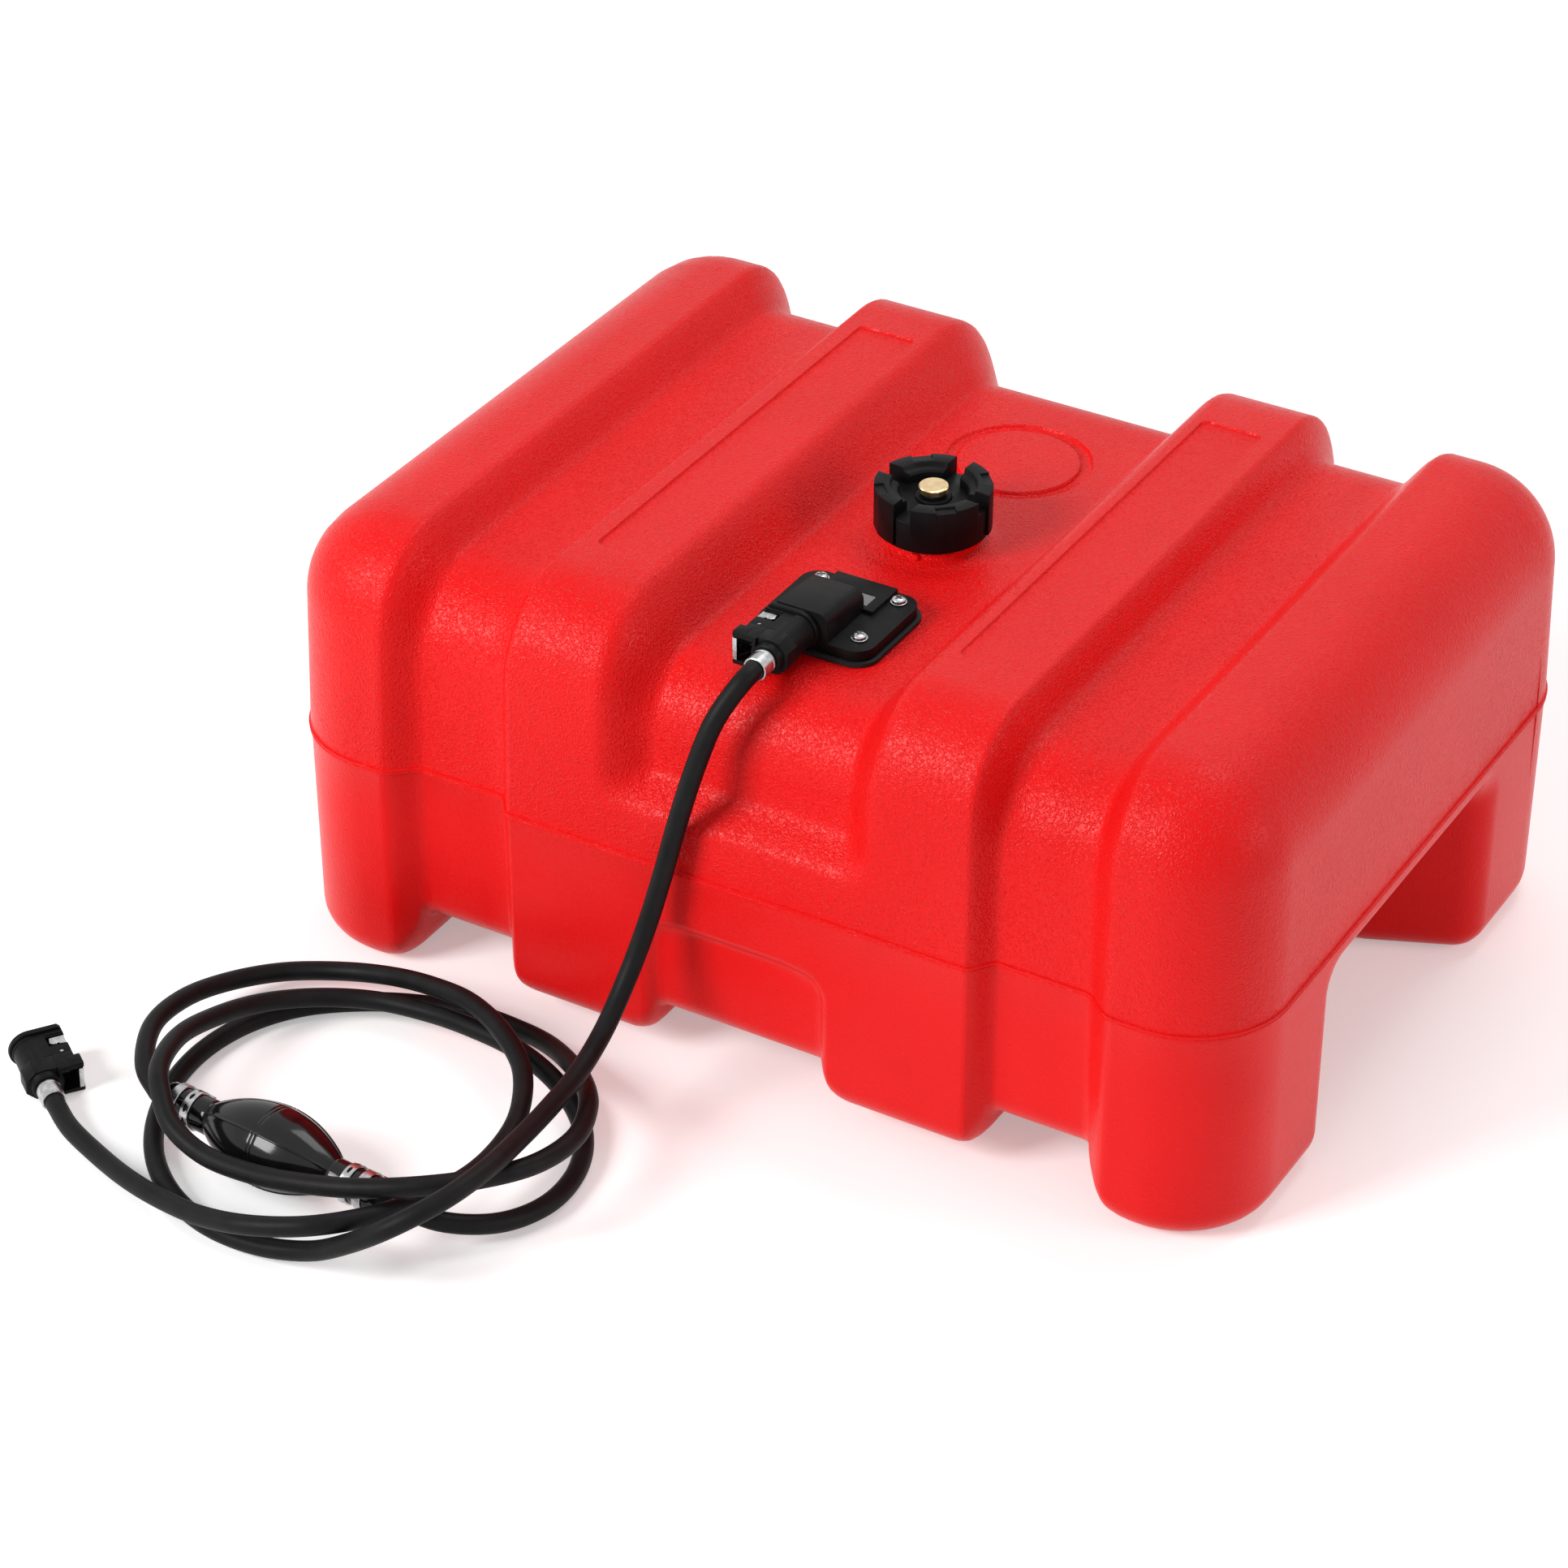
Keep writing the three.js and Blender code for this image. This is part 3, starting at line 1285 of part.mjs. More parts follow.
const engineHosePath = [
  fromBulb(-bulbHoseEnd),
  fromBulb(-bulbHoseStraight),
  ...routed(ENGINE_HOSE_ROUTE),
  fromConnector(atEngine, connectorHoseStraight),
  fromConnector(atEngine, connectorHoseEnd),
];

// A hose along a path, with straight ends that are bored for the barbs in them.
function hose(places) {
  const middle = new THREE.CatmullRomCurve3(places.slice(1, -1), false, "centripetal");
  const path = new THREE.CurvePath();
  path.add(new THREE.LineCurve3(places[0], places[1]));
  path.add(middle);
  path.add(new THREE.LineCurve3(places[places.length - 2], places[places.length - 1]));
  const section = new THREE.Shape();
  section.absarc(0, 0, HOSE_DIAMETER / 2, 0, Math.PI * 2);
  const steps = Math.round(path.getLength() / HOSE.step);
  const options = { steps, extrudePath: path, curveSegments: TUBE_SIDES / 2, bevelEnabled: false };
  let made = solid(new THREE.ExtrudeGeometry(section, options));
  const count = places.length;
  const ends = [
    [places[0], places[1]],
    [places[count - 1], places[count - 2]],
  ];
  for (const [end, inner] of ends) {
    const inwards = inner.clone().sub(end).normalize();
    const bore = new THREE.CylinderGeometry(
      HOSE_BORE / 2,
      HOSE_BORE / 2,
      HOSE.boreDeep + OVERRUN,
      SMALL,
    );
    bore.translate(0, (HOSE.boreDeep - OVERRUN) / 2, 0);
    const turn = new THREE.Quaternion().setFromUnitVectors(new THREE.Vector3(0, 1, 0), inwards);
    bore.applyQuaternion(turn).translate(end.x, end.y, end.z);
    made = made.subtract(solid(bore));
  }
  return { made, path };
}
const tankHose = hose(tankHosePath);
const engineHose = hose(engineHosePath);
add("fuel_hose_tank", tankHose.made, blackRubber());
add("fuel_hose_engine", engineHose.made, blackRubber());

// The least gap of the coiled hoses to themselves and to each other, and their lengths
function leastGap(a, b) {
  const apart = 4 * HOSE_DIAMETER;
  const [from, to] = [a.path, b.path].map((path) =>
    path.getSpacedPoints(Math.round((2 * path.getLength()) / HOSE_DIAMETER)),
  );
  const [stepA, stepB] = [a.path.getLength() / from.length, b.path.getLength() / to.length];
  let least = Infinity;
  from.forEach((p, i) => {
    to.forEach((q, j) => {
      if (a === b && Math.abs(i * stepA - j * stepB) < apart) return;
      least = Math.min(least, p.distanceTo(q));
    });
  });
  return least - HOSE_DIAMETER;
}
console.log("tank hose length", tankHose.path.getLength().toFixed(0));
console.log("engine hose length", engineHose.path.getLength().toFixed(0));
console.log("least gap in the tank hose", leastGap(tankHose, tankHose).toFixed(2));
console.log("least gap between the hoses", leastGap(tankHose, engineHose).toFixed(2));

export default tank;
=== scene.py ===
from math import acos, atan2, copysign, cos, degrees, hypot, pi, radians, sin, sqrt, tan

import bpy
from mathutils import Matrix, Vector


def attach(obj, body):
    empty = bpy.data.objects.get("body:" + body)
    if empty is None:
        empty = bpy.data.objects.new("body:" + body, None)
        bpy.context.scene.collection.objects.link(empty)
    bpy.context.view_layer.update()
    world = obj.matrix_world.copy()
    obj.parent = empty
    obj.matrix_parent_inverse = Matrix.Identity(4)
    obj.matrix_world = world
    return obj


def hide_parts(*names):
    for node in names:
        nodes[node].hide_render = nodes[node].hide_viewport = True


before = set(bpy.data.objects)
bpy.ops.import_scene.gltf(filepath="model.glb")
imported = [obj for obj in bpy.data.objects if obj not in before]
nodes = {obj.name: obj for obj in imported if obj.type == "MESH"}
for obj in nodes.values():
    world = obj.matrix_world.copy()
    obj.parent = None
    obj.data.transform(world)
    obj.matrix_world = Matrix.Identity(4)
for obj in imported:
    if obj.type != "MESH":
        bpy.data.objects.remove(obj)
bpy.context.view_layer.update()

# Camera, lamps and floor
# The tank stands on a white studio floor under large soft lamps, and is seen with a long
# lens from the front right, a little above. None of this belongs to the tank.
lens = bpy.data.cameras.new("photo_camera")
lens.lens = 106.6245
lens.sensor_width = 36
camera = bpy.data.objects.new("photo_camera", lens)
camera.location = (1.1356, -2.1047, 1.6738)
camera.rotation_euler = (radians(56.373), 0, radians(30.506))
bpy.context.collection.objects.link(camera)
bpy.context.scene.camera = camera
bpy.context.scene.view_settings.view_transform = "Standard"

LAMPS = {
    "front_softbox": ((-1.35, -2.35, 1.75), (0, 0, 0.15), 1.15, 69),
    "top_softbox": ((0.2, 0.9, 2.6), (0, 0, 0.2), 1.3, 20),
    "right_softbox": ((2.8, 0.3, 1.2), (0, 0, 0.15), 1.2, 17),
}
for lamp_name, (place, target, side, watts) in LAMPS.items():
    light = bpy.data.lights.new(lamp_name, "AREA")
    light.shape = "SQUARE"
    light.size = side
    light.energy = watts
    lamp = bpy.data.objects.new(lamp_name, light)
    lamp.location = place
    lamp.rotation_euler = (Vector(target) - Vector(place)).to_track_quat("-Z", "Y").to_euler()
    bpy.context.collection.objects.link(lamp)


class Value:
    """A socket that is written with in plain sums; each sum adds its Math node."""

    def __init__(self, tree, socket):
        self.tree, self.socket = tree, socket

    def math(self, operation, *others):
        return Value(self.tree, self.tree.node("ShaderNodeMath", {"operation": operation},
                                               [self, *others]).outputs[0])

    def __add__(self, other):
        return self.math("ADD", other)

    def __sub__(self, other):
        return self.math("SUBTRACT", other)

    def __rsub__(self, other):
        return self.math("MULTIPLY", -1).math("ADD", other)

    def __mul__(self, other):
        return self.math("MULTIPLY", other)

    __radd__, __rmul__ = __add__, __mul__

    def __abs__(self):
        return self.math("ABSOLUTE")

    def ramp(self, low, high):
        """0 below low and 1 above high, smooth between them."""
        made = self.tree.node(
            "ShaderNodeMapRange", {"interpolation_type": "SMOOTHSTEP"}, [self, low, high])
        return Value(self.tree, made.outputs[0])


class Tree:
    """The nodes of a material or of the world."""

    def __init__(self, owner):
        owner.use_nodes = True
        self.nodes, self.links = owner.node_tree.nodes, owner.node_tree.links

    def node(self, kind, settings=None, values=()):
        made = self.nodes.new(kind)
        for key, value in (settings or {}).items():
            setattr(made, key, value)
        pairs = values.items() if isinstance(values, dict) else enumerate(values)
        for key, value in pairs:
            value = getattr(value, "socket", value)
            if isinstance(value, bpy.types.NodeSocket):
                self.links.new(value, made.inputs[key])
            else:
                made.inputs[key].default_value = value
        return made

    def seen_directly(self):
        """1 for the camera, a reflection or a view through a clear piece, and 0 for light."""
        ray = self.node("ShaderNodeLightPath").outputs
        return Value(self, ray["Is Camera Ray"]).math("MAXIMUM", ray["Is Glossy Ray"]).math(
            "MAXIMUM", ray["Is Transmission Ray"])


class Finish(Tree):
    """One material: a Principled shader with fixed values, and what varies over its surface."""

    def __init__(self, name, **fixed):
        self.material = bpy.data.materials.new(name)
        super().__init__(self.material)
        self.shader = self.nodes["Principled BSDF"]
        self.place = self.node("ShaderNodeTexCoord").outputs["Object"]
        for key, value in fixed.items():
            self.slot(key).default_value = value

    def slot(self, key):
        return self.shader.inputs[key.replace("_", " ").title().replace("Ior", "IOR")]

    def noise(self, scale, detail=2.0, roughness=0.5, distortion=0.0, place=None):
        made = self.node("ShaderNodeTexNoise", {}, {
            "Vector": place or self.place, "Scale": scale, "Detail": detail,
            "Roughness": roughness, "Distortion": distortion})
        return Value(self, made.outputs["Fac"])

    def stretched(self, scales, centre):
        made = self.node("ShaderNodeMapping", {"vector_type": "TEXTURE"}, {
            "Vector": self.place, "Location": centre, "Scale": scales})
        return made.outputs[0]

    def height(self):
        made = self.node("ShaderNodeSeparateXYZ", {}, [self.place])
        return Value(self, made.outputs["Z"])

    def mixed(self, factor, first, second):
        made = self.node("ShaderNodeMix", {"data_type": "RGBA"},
                         {0: factor, 6: (*first, 1), 7: (*second, 1)})
        return made.outputs[2]

    def shows(self, **varying):
        for key, value in varying.items():
            self.links.new(getattr(value, "socket", value), self.slot(key))
        return self

    def bumped(self, height, depth):
        made = self.node("ShaderNodeBump", {}, {
            "Strength": 1.0, "Distance": depth, "Height": height})
        return self.shows(normal=made.outputs["Normal"])


def uneven(name, spots, tints, rough, bumps=None, **fixed):
    """A finish with spots in two close tints, an uneven roughness and fine bumps.

    spots: a noise's scale and detail, and the two edges of its ramp if it has one.
    rough: a noise's scale and detail, how far it raises the roughness, and the least.
    bumps: a noise's scale and detail, and the depth.
    """
    finish = Finish(name, **fixed)
    tone = finish.noise(*spots[:2])
    if spots[2:]:
        tone = tone.ramp(*spots[2:])
    finish.shows(base_color=finish.mixed(tone, *tints),
                 roughness=finish.noise(*rough[:2]) * rough[2] + rough[3])
    return finish.bumped(finish.noise(*bumps[:2]), bumps[2]) if bumps else finish


def bare():
    """Nothing is selected and nothing is active."""
    bpy.ops.object.select_all(action="DESELECT")
    bpy.context.view_layer.objects.active = None


def choose(obj):
    bare()
    obj.select_set(True)
    bpy.context.view_layer.objects.active = obj
    return obj


SOFT_LIGHT = 0.34
bare()
bpy.ops.mesh.primitive_plane_add(size=14, location=(0, 0, -0.0004))
studio_floor = bpy.context.object
studio_floor.name = "studio_floor"
floor_finish = Finish("studio_floor", roughness=0.9, specular_ior_level=0.1,
                      emission_strength=1)
floor_finish.shows(
    base_color=floor_finish.mixed(floor_finish.noise(3.0).ramp(0.3, 0.7),
                                  (0.93, 0.93, 0.93), (0.945, 0.945, 0.945)),
    emission_color=floor_finish.mixed(floor_finish.seen_directly(), (0, 0, 0),
                                      [SOFT_LIGHT] * 3))
studio_floor.data.materials.append(floor_finish.material)

world = bpy.data.worlds.new("studio_white")
bpy.context.scene.world = world
sky = Tree(world)
backdrop = sky.nodes["Background"].inputs
backdrop["Color"].default_value = (1, 1, 1, 1)
sky.links.new((sky.seen_directly() * (1 - SOFT_LIGHT) + SOFT_LIGHT).socket,
              backdrop["Strength"])

# Fuel hoses
# Two lengths of black rubber fuel hose, 8 mm inside and 12 mm outside, run from the tank's
# connector to the primer bulb and from the bulb to the engine's connector. Both are seen
# from end to end, lying on the floor in loose coils.
HOSE_RADIUS = 0.006
HOSE_POINT_SPACING = 0.004
# The middle lines in millimetres; the two points at each end lie straight in an end piece
TANK_HOSE_ENDS = (
    [(-4, -191.6, 277), (-4, -207.6, 277)],
    [(-95.88, -449.36, 25.8), (-117.8, -447.52, 25.8)],
)
TANK_HOSE_ROUTE = [
    (-4.6, -213, 275.6), (-9.5, -222, 266), (-15, -231, 252), (-22, -240, 224),
    (-30, -246, 189), (-38, -249, 154), (-46, -254, 119), (-51, -269, 88), (-51, -296, 66),
    (-48, -330, 57), (-44, -366, 58), (-40, -402, 62), (-37, -438, 67), (-43, -472, 66),
    (-62, -495, 55), (-90, -499, 34), (-120, -498, 15), (-155, -501, 7), (-190, -500, 6.4),
    (-223, -488, 6.4), (-252, -466, 6.4), (-273, -437, 6.4), (-286, -404, 6.4),
    (-290, -368, 6.4), (-283, -333, 6.4), (-265, -303, 6.4), (-237, -280, 6.4),
    (-205, -264, 6.4), (-170, -255, 6.4), (-135, -258, 9), (-113, -266, 14), (-85, -285, 24),
    (-59, -308, 34), (-37, -336, 42), (-25, -369, 46), (-29, -403, 49), (-47, -434, 52),
    (-74, -458, 52), (-106, -471, 47), (-141, -476, 40), (-177, -476, 33), (-212, -473, 31),
    (-238, -466, 37), (-255, -452, 44), (-268, -436, 46), (-281, -400, 41), (-281, -365, 33),
    (-272, -331, 25), (-251, -303, 19), (-221, -286, 17), (-185, -282, 19), (-150, -286, 23),
    (-114, -292, 24), (-80, -301, 17), (-52, -320, 9), (-36, -350, 6.4), (-33, -386, 7),
    (-45, -419, 11), (-70, -442, 18),
]
ENGINE_HOSE_ENDS = (
    [(-249.4, -436.48, 25.8), (-271.32, -434.64, 25.8)],
    [(-329.71, -458.12, 9.39), (-342.72, -448.9, 10.76)],
)
ENGINE_HOSE_ROUTE = [
    (-291, -421, 27.5), (-312, -386, 28), (-316, -350, 24), (-309, -315, 17), (-290, -286, 13),
    (-260, -269, 14), (-224, -265, 21), (-189, -271, 30), (-155, -281, 37), (-123, -297, 39),
    (-94, -319, 36), (-76, -349, 32), (-70, -372, 30), (-69, -408, 30), (-76, -444, 34),
    (-90, -477, 38), (-114, -503, 39), (-146, -513, 33), (-182, -511, 23), (-216, -503, 15),
    (-250, -493, 10), (-284, -480, 7), (-312, -469, 8),
]


def smooth_route(places):
    """Points close together on the smooth line through the places, and its straight ends."""
    first, *middle, final = [Vector([v / 1000 for v in place]) for place in places]
    padded = [2 * middle[0] - middle[1], *middle, 2 * middle[-1] - middle[-2]]
    line = [first]
    for a, b, c, d in zip(padded, padded[1:], padded[2:], padded[3:]):
        t0, t1 = 0.0, (b - a).length ** 0.5
        t2 = t1 + (c - b).length ** 0.5
        t3 = t2 + (d - c).length ** 0.5
        steps = max(2, round((c - b).length / HOSE_POINT_SPACING))
        for i in range(steps):
            t = t1 + (t2 - t1) * i / steps
            ab = a.lerp(b, (t - t0) / (t1 - t0))
            bc = b.lerp(c, (t - t1) / (t2 - t1))
            cd = c.lerp(d, (t - t2) / (t3 - t2))
            abc = ab.lerp(bc, (t - t0) / (t2 - t0))
            bcd = bc.lerp(cd, (t - t1) / (t3 - t1))
            line.append(abc.lerp(bcd, (t - t1) / (t2 - t1)))
    return [*line, middle[-1], final]


hose_rubber = uneven("hose_rubber", (60, 3, 0.3, 0.75),
                     [(0.005, 0.005, 0.0055), (0.009, 0.009, 0.0095)],
                     (180, 3, 0.14, 0.42), (900, 3, 0.00006), specular_ior_level=0.12)


def dressed(piece, finish, body, node):
    """Gives a piece its finish and its body, and hides the CAD node that it stands for."""
    piece.data.materials.clear()
    piece.data.materials.append(finish.material)
    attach(piece, body)
    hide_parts(node)
    return piece


def hose(name, node, ends, route):
    """A round hose along its route, with its length."""
    curve = bpy.data.curves.new(name, "CURVE")
    curve.dimensions = "3D"
    curve.bevel_depth = HOSE_RADIUS
    curve.bevel_resolution = 6
    curve.use_fill_caps = True
    line = smooth_route([*ends[0], *route, *ends[1]])
    spline = curve.splines.new("POLY")
    spline.points.add(len(line) - 1)
    spline.points.foreach_set("co", [v for p in line for v in (*p, 1)])
    spline.use_smooth = True
    piece = bpy.data.objects.new(name, curve)
    bpy.context.collection.objects.link(piece)
    length = sum((b - a).length for a, b in zip(line, line[1:]))
    return dressed(piece, hose_rubber, "hose_line", node), length


tank_hose, tank_hose_length = hose(
    "hose_to_tank", "fuel_hose_tank", TANK_HOSE_ENDS, TANK_HOSE_ROUTE)
engine_hose, engine_hose_length = hose(
    "hose_to_engine", "fuel_hose_engine", ENGINE_HOSE_ENDS, ENGINE_HOSE_ROUTE)

# Tank shell
# The tank is one blow moulding in bright red polyethylene, 4 mm thick: five lobes with
# grooves between them, four corner feet and a channel across the underside. The upper
# half has a pebble grain, the lower half is smoother, and a ridge runs where they met.
HALF_WIDTH, HALF_DEPTH, HEIGHT, WALL = 0.3235, 0.2375, 0.295, 0.004
CORNER, TOP_ROUNDING, CHANNEL_ROUNDING, FOOT_ROUNDING = 0.06, 0.056, 0.044, 0.02
# The halves meet at the parting, and the lower one is set in over a small lip under it
PARTING, LIP_TOP, LIP_FOOT, LOWER_IN = 0.1468, 0.1425, 0.1405, 0.0007
GROOVE_IN, GROOVE_DEEP, CHANNEL_DEEP, CHANNEL_IN = 0.0146, 0.021, 0.0335, 0.02
CHANNEL_TOP, CHANNEL_FRONT = (0.064, 0.096), (0.063, 0.093)
GROOVE_START, GROOVE_END = (0.152, 0.167), (0.221, 0.245)
LOBE_LIFT, GROOVE_LIFT, CENTRE_LIFT = 0.013, 0.0335, 0.032
# The steep sides of the lobes under the tank, with the round corner at the foot of each
CENTRE_SIDE, INNER_SIDE, OUTER_SIDE, MID_GROOVE = 0.057, 0.162, 0.229, 0.195
INNER_CORNER, OUTER_CORNER, SIDE_SLOPE, FLAT_MIDDLE = 0.018, 0.03, 0.002, 0.05
# The step in front of the middle channel, the sunk panel under it, and the underside
STEP_FOOT, STEP_TOP = 0.176, 0.2
PANEL_IN, PANEL_TOP, PANEL_HALF, PANEL_CORNER, PANEL_SLOPE = 0.007, 0.1045, 0.058, 0.018, 0.006
CHANNEL_CEILING, CEILING_ROUNDING, FILLET = 0.129, 0.012, 0.02
# The legs' inner faces slant back to a small corner at the side
LEG_INNER, LEG_SIDE, LEG_SLANT, LEG_CORNER = 0.068, 0.1115, 0.436, 0.022
UPPER_DRAFT, LOWER_DRAFT = radians(1.4), radians(0.3)
CORNER_X, CORNER_Y = HALF_WIDTH - CORNER, HALF_DEPTH - CORNER
CHANNEL_FLOOR = HEIGHT - CHANNEL_DEEP
LABEL_X, LABEL_Y, LABEL_CORNER = (0.099, 0.141), 0.157, 0.0045
LABEL_DEEP, LABEL_SLOPE = 0.0013, 0.0018


def ease(x, start, end):
    t = min(1, max(0, (x - start) / (end - start)))
    return t * t * (3 - 2 * t)


def groove_at(x, reach):
    """1 in the groove between the inner and the outer lobe, 0 beside it."""
    return (ease(x, GROOVE_START[0] - reach, GROOVE_START[1] - reach)
            * (1 - ease(x, GROOVE_END[0] + reach, GROOVE_END[1] + reach)))


def centre_at(x, slope, reach):
    """1 in the middle channel, 0 beyond its slope."""
    return 1 - ease(x, slope[0] + reach, slope[1] + reach)


def face_at(x, inset, reach):
    """From the middle to the front face at x."""
    if x > CORNER_X:
        return CORNER_Y + sqrt(max(0, (CORNER - inset) ** 2 - (x - CORNER_X) ** 2))
    return HALF_DEPTH - GROOVE_IN * groove_at(x, reach) - inset


def leg_at(x, inset):
    """From the middle to the inner face of a leg at x."""
    steep = hypot(1, LEG_SLANT)
    past = x - (HALF_WIDTH - LEG_CORNER)
    if past > (LEG_CORNER - inset) * LEG_SLANT / steep:
        return (LEG_SIDE + LEG_CORNER * (steep - LEG_SLANT)
                - sqrt(max(0, (LEG_CORNER - inset) ** 2 - past ** 2)))
    return max(LEG_INNER + inset, LEG_SIDE - LEG_SLANT * (HALF_WIDTH - x) + inset * steep)


def roll_angle(x, radius, inset):
    """How much of a quarter round is left at x, near the tank's side."""
    into = x - (HALF_WIDTH - radius)
    return pi / 2 if into <= 0 else acos(min(1, into / (radius - inset)))


def panel_at(x, z, inset):
    """How far the lower middle panel is sunk at a place, with its upper corners round."""
    dx = x - (PANEL_HALF + inset - PANEL_CORNER)
    dz = z - (PANEL_TOP + inset - PANEL_CORNER)
    if dx > 0 and dz > 0:
        outside = hypot(dx, dz) - PANEL_CORNER
    else:
        outside = max(dx, dz) - PANEL_CORNER
    return PANEL_IN * (1 - ease(outside, -PANEL_SLOPE, PANEL_SLOPE))


def corner_rise(into, radius, rise):
    """How far the underside has risen this far into a round corner and its steep side."""
    along = min(radius, max(0, into))
    risen = radius - sqrt(radius ** 2 - along ** 2)
    return risen + (rise - radius) * ease(into, radius, radius + SIDE_SLOPE)


def lift_at(x, inset):
    """How high the underside of the front stands at x."""
    inner, outer = INNER_CORNER - inset, OUTER_CORNER - inset
    if x > MID_GROOVE:
        return corner_rise(OUTER_SIDE + inset + outer - x, outer, GROOVE_LIFT)
    return (LOBE_LIFT
            + corner_rise(x - (INNER_SIDE - inset - inner), inner, GROOVE_LIFT - LOBE_LIFT)
            + corner_rise(CENTRE_SIDE + inset + inner - x, inner, CENTRE_LIFT - LOBE_LIFT))


def rolled(radius, inset, angle):
    """How far a round edge draws the face in, and its distance from the edge's axis."""
    return inset + (radius - inset) * (1 - cos(angle)), (radius - inset) * sin(angle)


def half_outline(x, inset, roll, foot, fillet, slope):
    """The outline across Y and Z at x: top middle, round the front, to the underside."""
    groove = groove_at(x, inset)
    centre = centre_at(x, CHANNEL_TOP, inset)
    recess = CHANNEL_IN * centre_at(x, CHANNEL_FRONT, inset)
    radius = TOP_ROUNDING + (CHANNEL_ROUNDING - TOP_ROUNDING) * centre
    axis = HEIGHT - GROOVE_DEEP * groove - CHANNEL_DEEP * centre - radius
    turn = roll_angle(x, TOP_ROUNDING, inset)
    points = [(0, axis + (radius - inset) * sin(turn))]
    for i in range(roll + 1):
        drawn, rise = rolled(radius, inset, turn * (1 - i / roll))
        points.append((face_at(x, drawn, inset) - recess, axis + rise))
    face = face_at(x, inset, inset)
    for i in range(slope + 1):
        share = i / slope
        height = STEP_TOP + (STEP_FOOT - STEP_TOP) * share
        points.append((face - recess * (1 - ease(share, 0, 1)), height))
    low_face = face - LOWER_IN
    points += [(face, PARTING), (face, LIP_TOP), (low_face, LIP_FOOT)]
    high, low = PANEL_TOP + PANEL_SLOPE + inset, PANEL_TOP - PANEL_CORNER - PANEL_SLOPE + inset
    for i in range(2 * slope + 1):
        z = high + (low - high) * i / (2 * slope)
        points.append((low_face - panel_at(x, z, inset), z))
    foot_axis = lift_at(x, inset) + FOOT_ROUNDING
    turn = roll_angle(x, FOOT_ROUNDING, inset)
    sunk = panel_at(x, low, inset)
    for i in range(foot + 1):
        drawn, drop = rolled(FOOT_ROUNDING, inset, turn * i / foot)
        points.append((face_at(x, drawn, inset) - LOWER_IN - sunk, foot_axis - drop))
    for i in range(foot + 1):
        drawn, drop = rolled(FOOT_ROUNDING, inset, turn * (1 - i / foot))
        points.append((leg_at(x, drawn), foot_axis - drop))
    into = max(0, x - (HALF_WIDTH - CEILING_ROUNDING))
    ceiling = CHANNEL_CEILING + CEILING_ROUNDING - sqrt(max(0, CEILING_ROUNDING ** 2 - into ** 2))
    leg, reach = leg_at(x, inset), FILLET + inset
    for i in range(fillet + 1):
        angle = pi / 2 * i / fillet
        points.append((leg - reach + reach * cos(angle), ceiling - FILLET + reach * sin(angle)))
    return [*points, (0, ceiling + inset)]


def drafted(x, y, z):
    """A point after the draft that lets both halves of the mould come off."""
    drawn = max(0, z - PARTING) * tan(UPPER_DRAFT) + max(0, PARTING - z) * tan(LOWER_DRAFT)
    return x * (1 - drawn / HALF_WIDTH), y * (1 - drawn / HALF_DEPTH), z


def quarter_sines(steps):
    """Shares that put points evenly round a quarter circle."""
    return [sin(pi / 2 * i / steps) for i in range(steps + 1)]


def stations(inset, steps, corner_steps):
    """Places across half the width, close together where the outline bends."""
    spans = [(0, FLAT_MIDDLE, 3)]
    for (start, end), reach in ((CHANNEL_TOP, 1), (GROOVE_START, -1), (GROOVE_END, 1)):
        spans.append((start + reach * inset, end + reach * inset, steps))
    if not inset:
        spans.append((GROOVE_START[1], GROOVE_END[0], 4))
    places = {round(a + (b - a) * i / n, 6) for a, b, n in spans for i in range(n + 1)}
    for side, reach, radius in ((CENTRE_SIDE, 1, INNER_CORNER), (INNER_SIDE, -1, INNER_CORNER),
                                (OUTER_SIDE, 1, OUTER_CORNER)):
        edge = side + reach * inset
        places |= {round(edge - reach * SIDE_SLOPE * share, 6) for share in (0.5, 1)}
        places |= {round(edge + reach * (radius - inset) * (1 - bend), 6)
                   for bend in quarter_sines(steps)}
    places |= {round(CORNER_X + (CORNER - inset) * bend, 6) for bend in quarter_sines(corner_steps)}
    half = sorted(places)
    return [*(-x for x in reversed(half[1:])), *half]


def ring_faces(rings, size, outward=True, loop=False):
    """The faces between rings of points that follow each other in a list."""
    faces = []
    for ring in range(rings if loop else rings - 1):
        this, following = ring * size, (ring + 1) % rings * size
        for i in range(size):
            j = (i + 1) % size
            a, b, c, d = this + i, this + j, following + j, following + i
            faces.append((a, d, c, b) if outward else (a, b, c, d))
    return faces


def skin(inset, steps, corner_steps, outward, **counts):
    """Points and faces of a closed skin through all the outlines."""
    points = []
    across = stations(inset, steps, corner_steps)
    for x in across:
        half = half_outline(abs(x), inset, **counts)
        points += [drafted(x, -y, z) for y, z in half]
        points += [drafted(x, y, z) for y, z in half[-2:0:-1]]
    count = len(points) // len(across)
    near, far = list(range(count)), list(range(len(points) - count, len(points)))
    ends = [near, far[::-1]] if outward else [near[::-1], far]
    return points, ring_faces(len(across), count, outward) + ends


def new_piece(name, points, faces, edges=()):
    mesh = bpy.data.meshes.new(name)
    mesh.from_pydata(points, edges, faces)
    piece = bpy.data.objects.new(name, mesh)
    bpy.context.collection.objects.link(piece)
    return choose(piece)


def in_edit(step, **settings):
    """Runs an edit-mode step on the whole mesh of the active piece."""
    bpy.ops.object.mode_set(mode="EDIT")
    bpy.ops.mesh.select_all(action="SELECT")
    step(**settings)
    bpy.ops.object.mode_set(mode="OBJECT")


def face_outward():
    in_edit(bpy.ops.mesh.normals_make_consistent, inside=False)


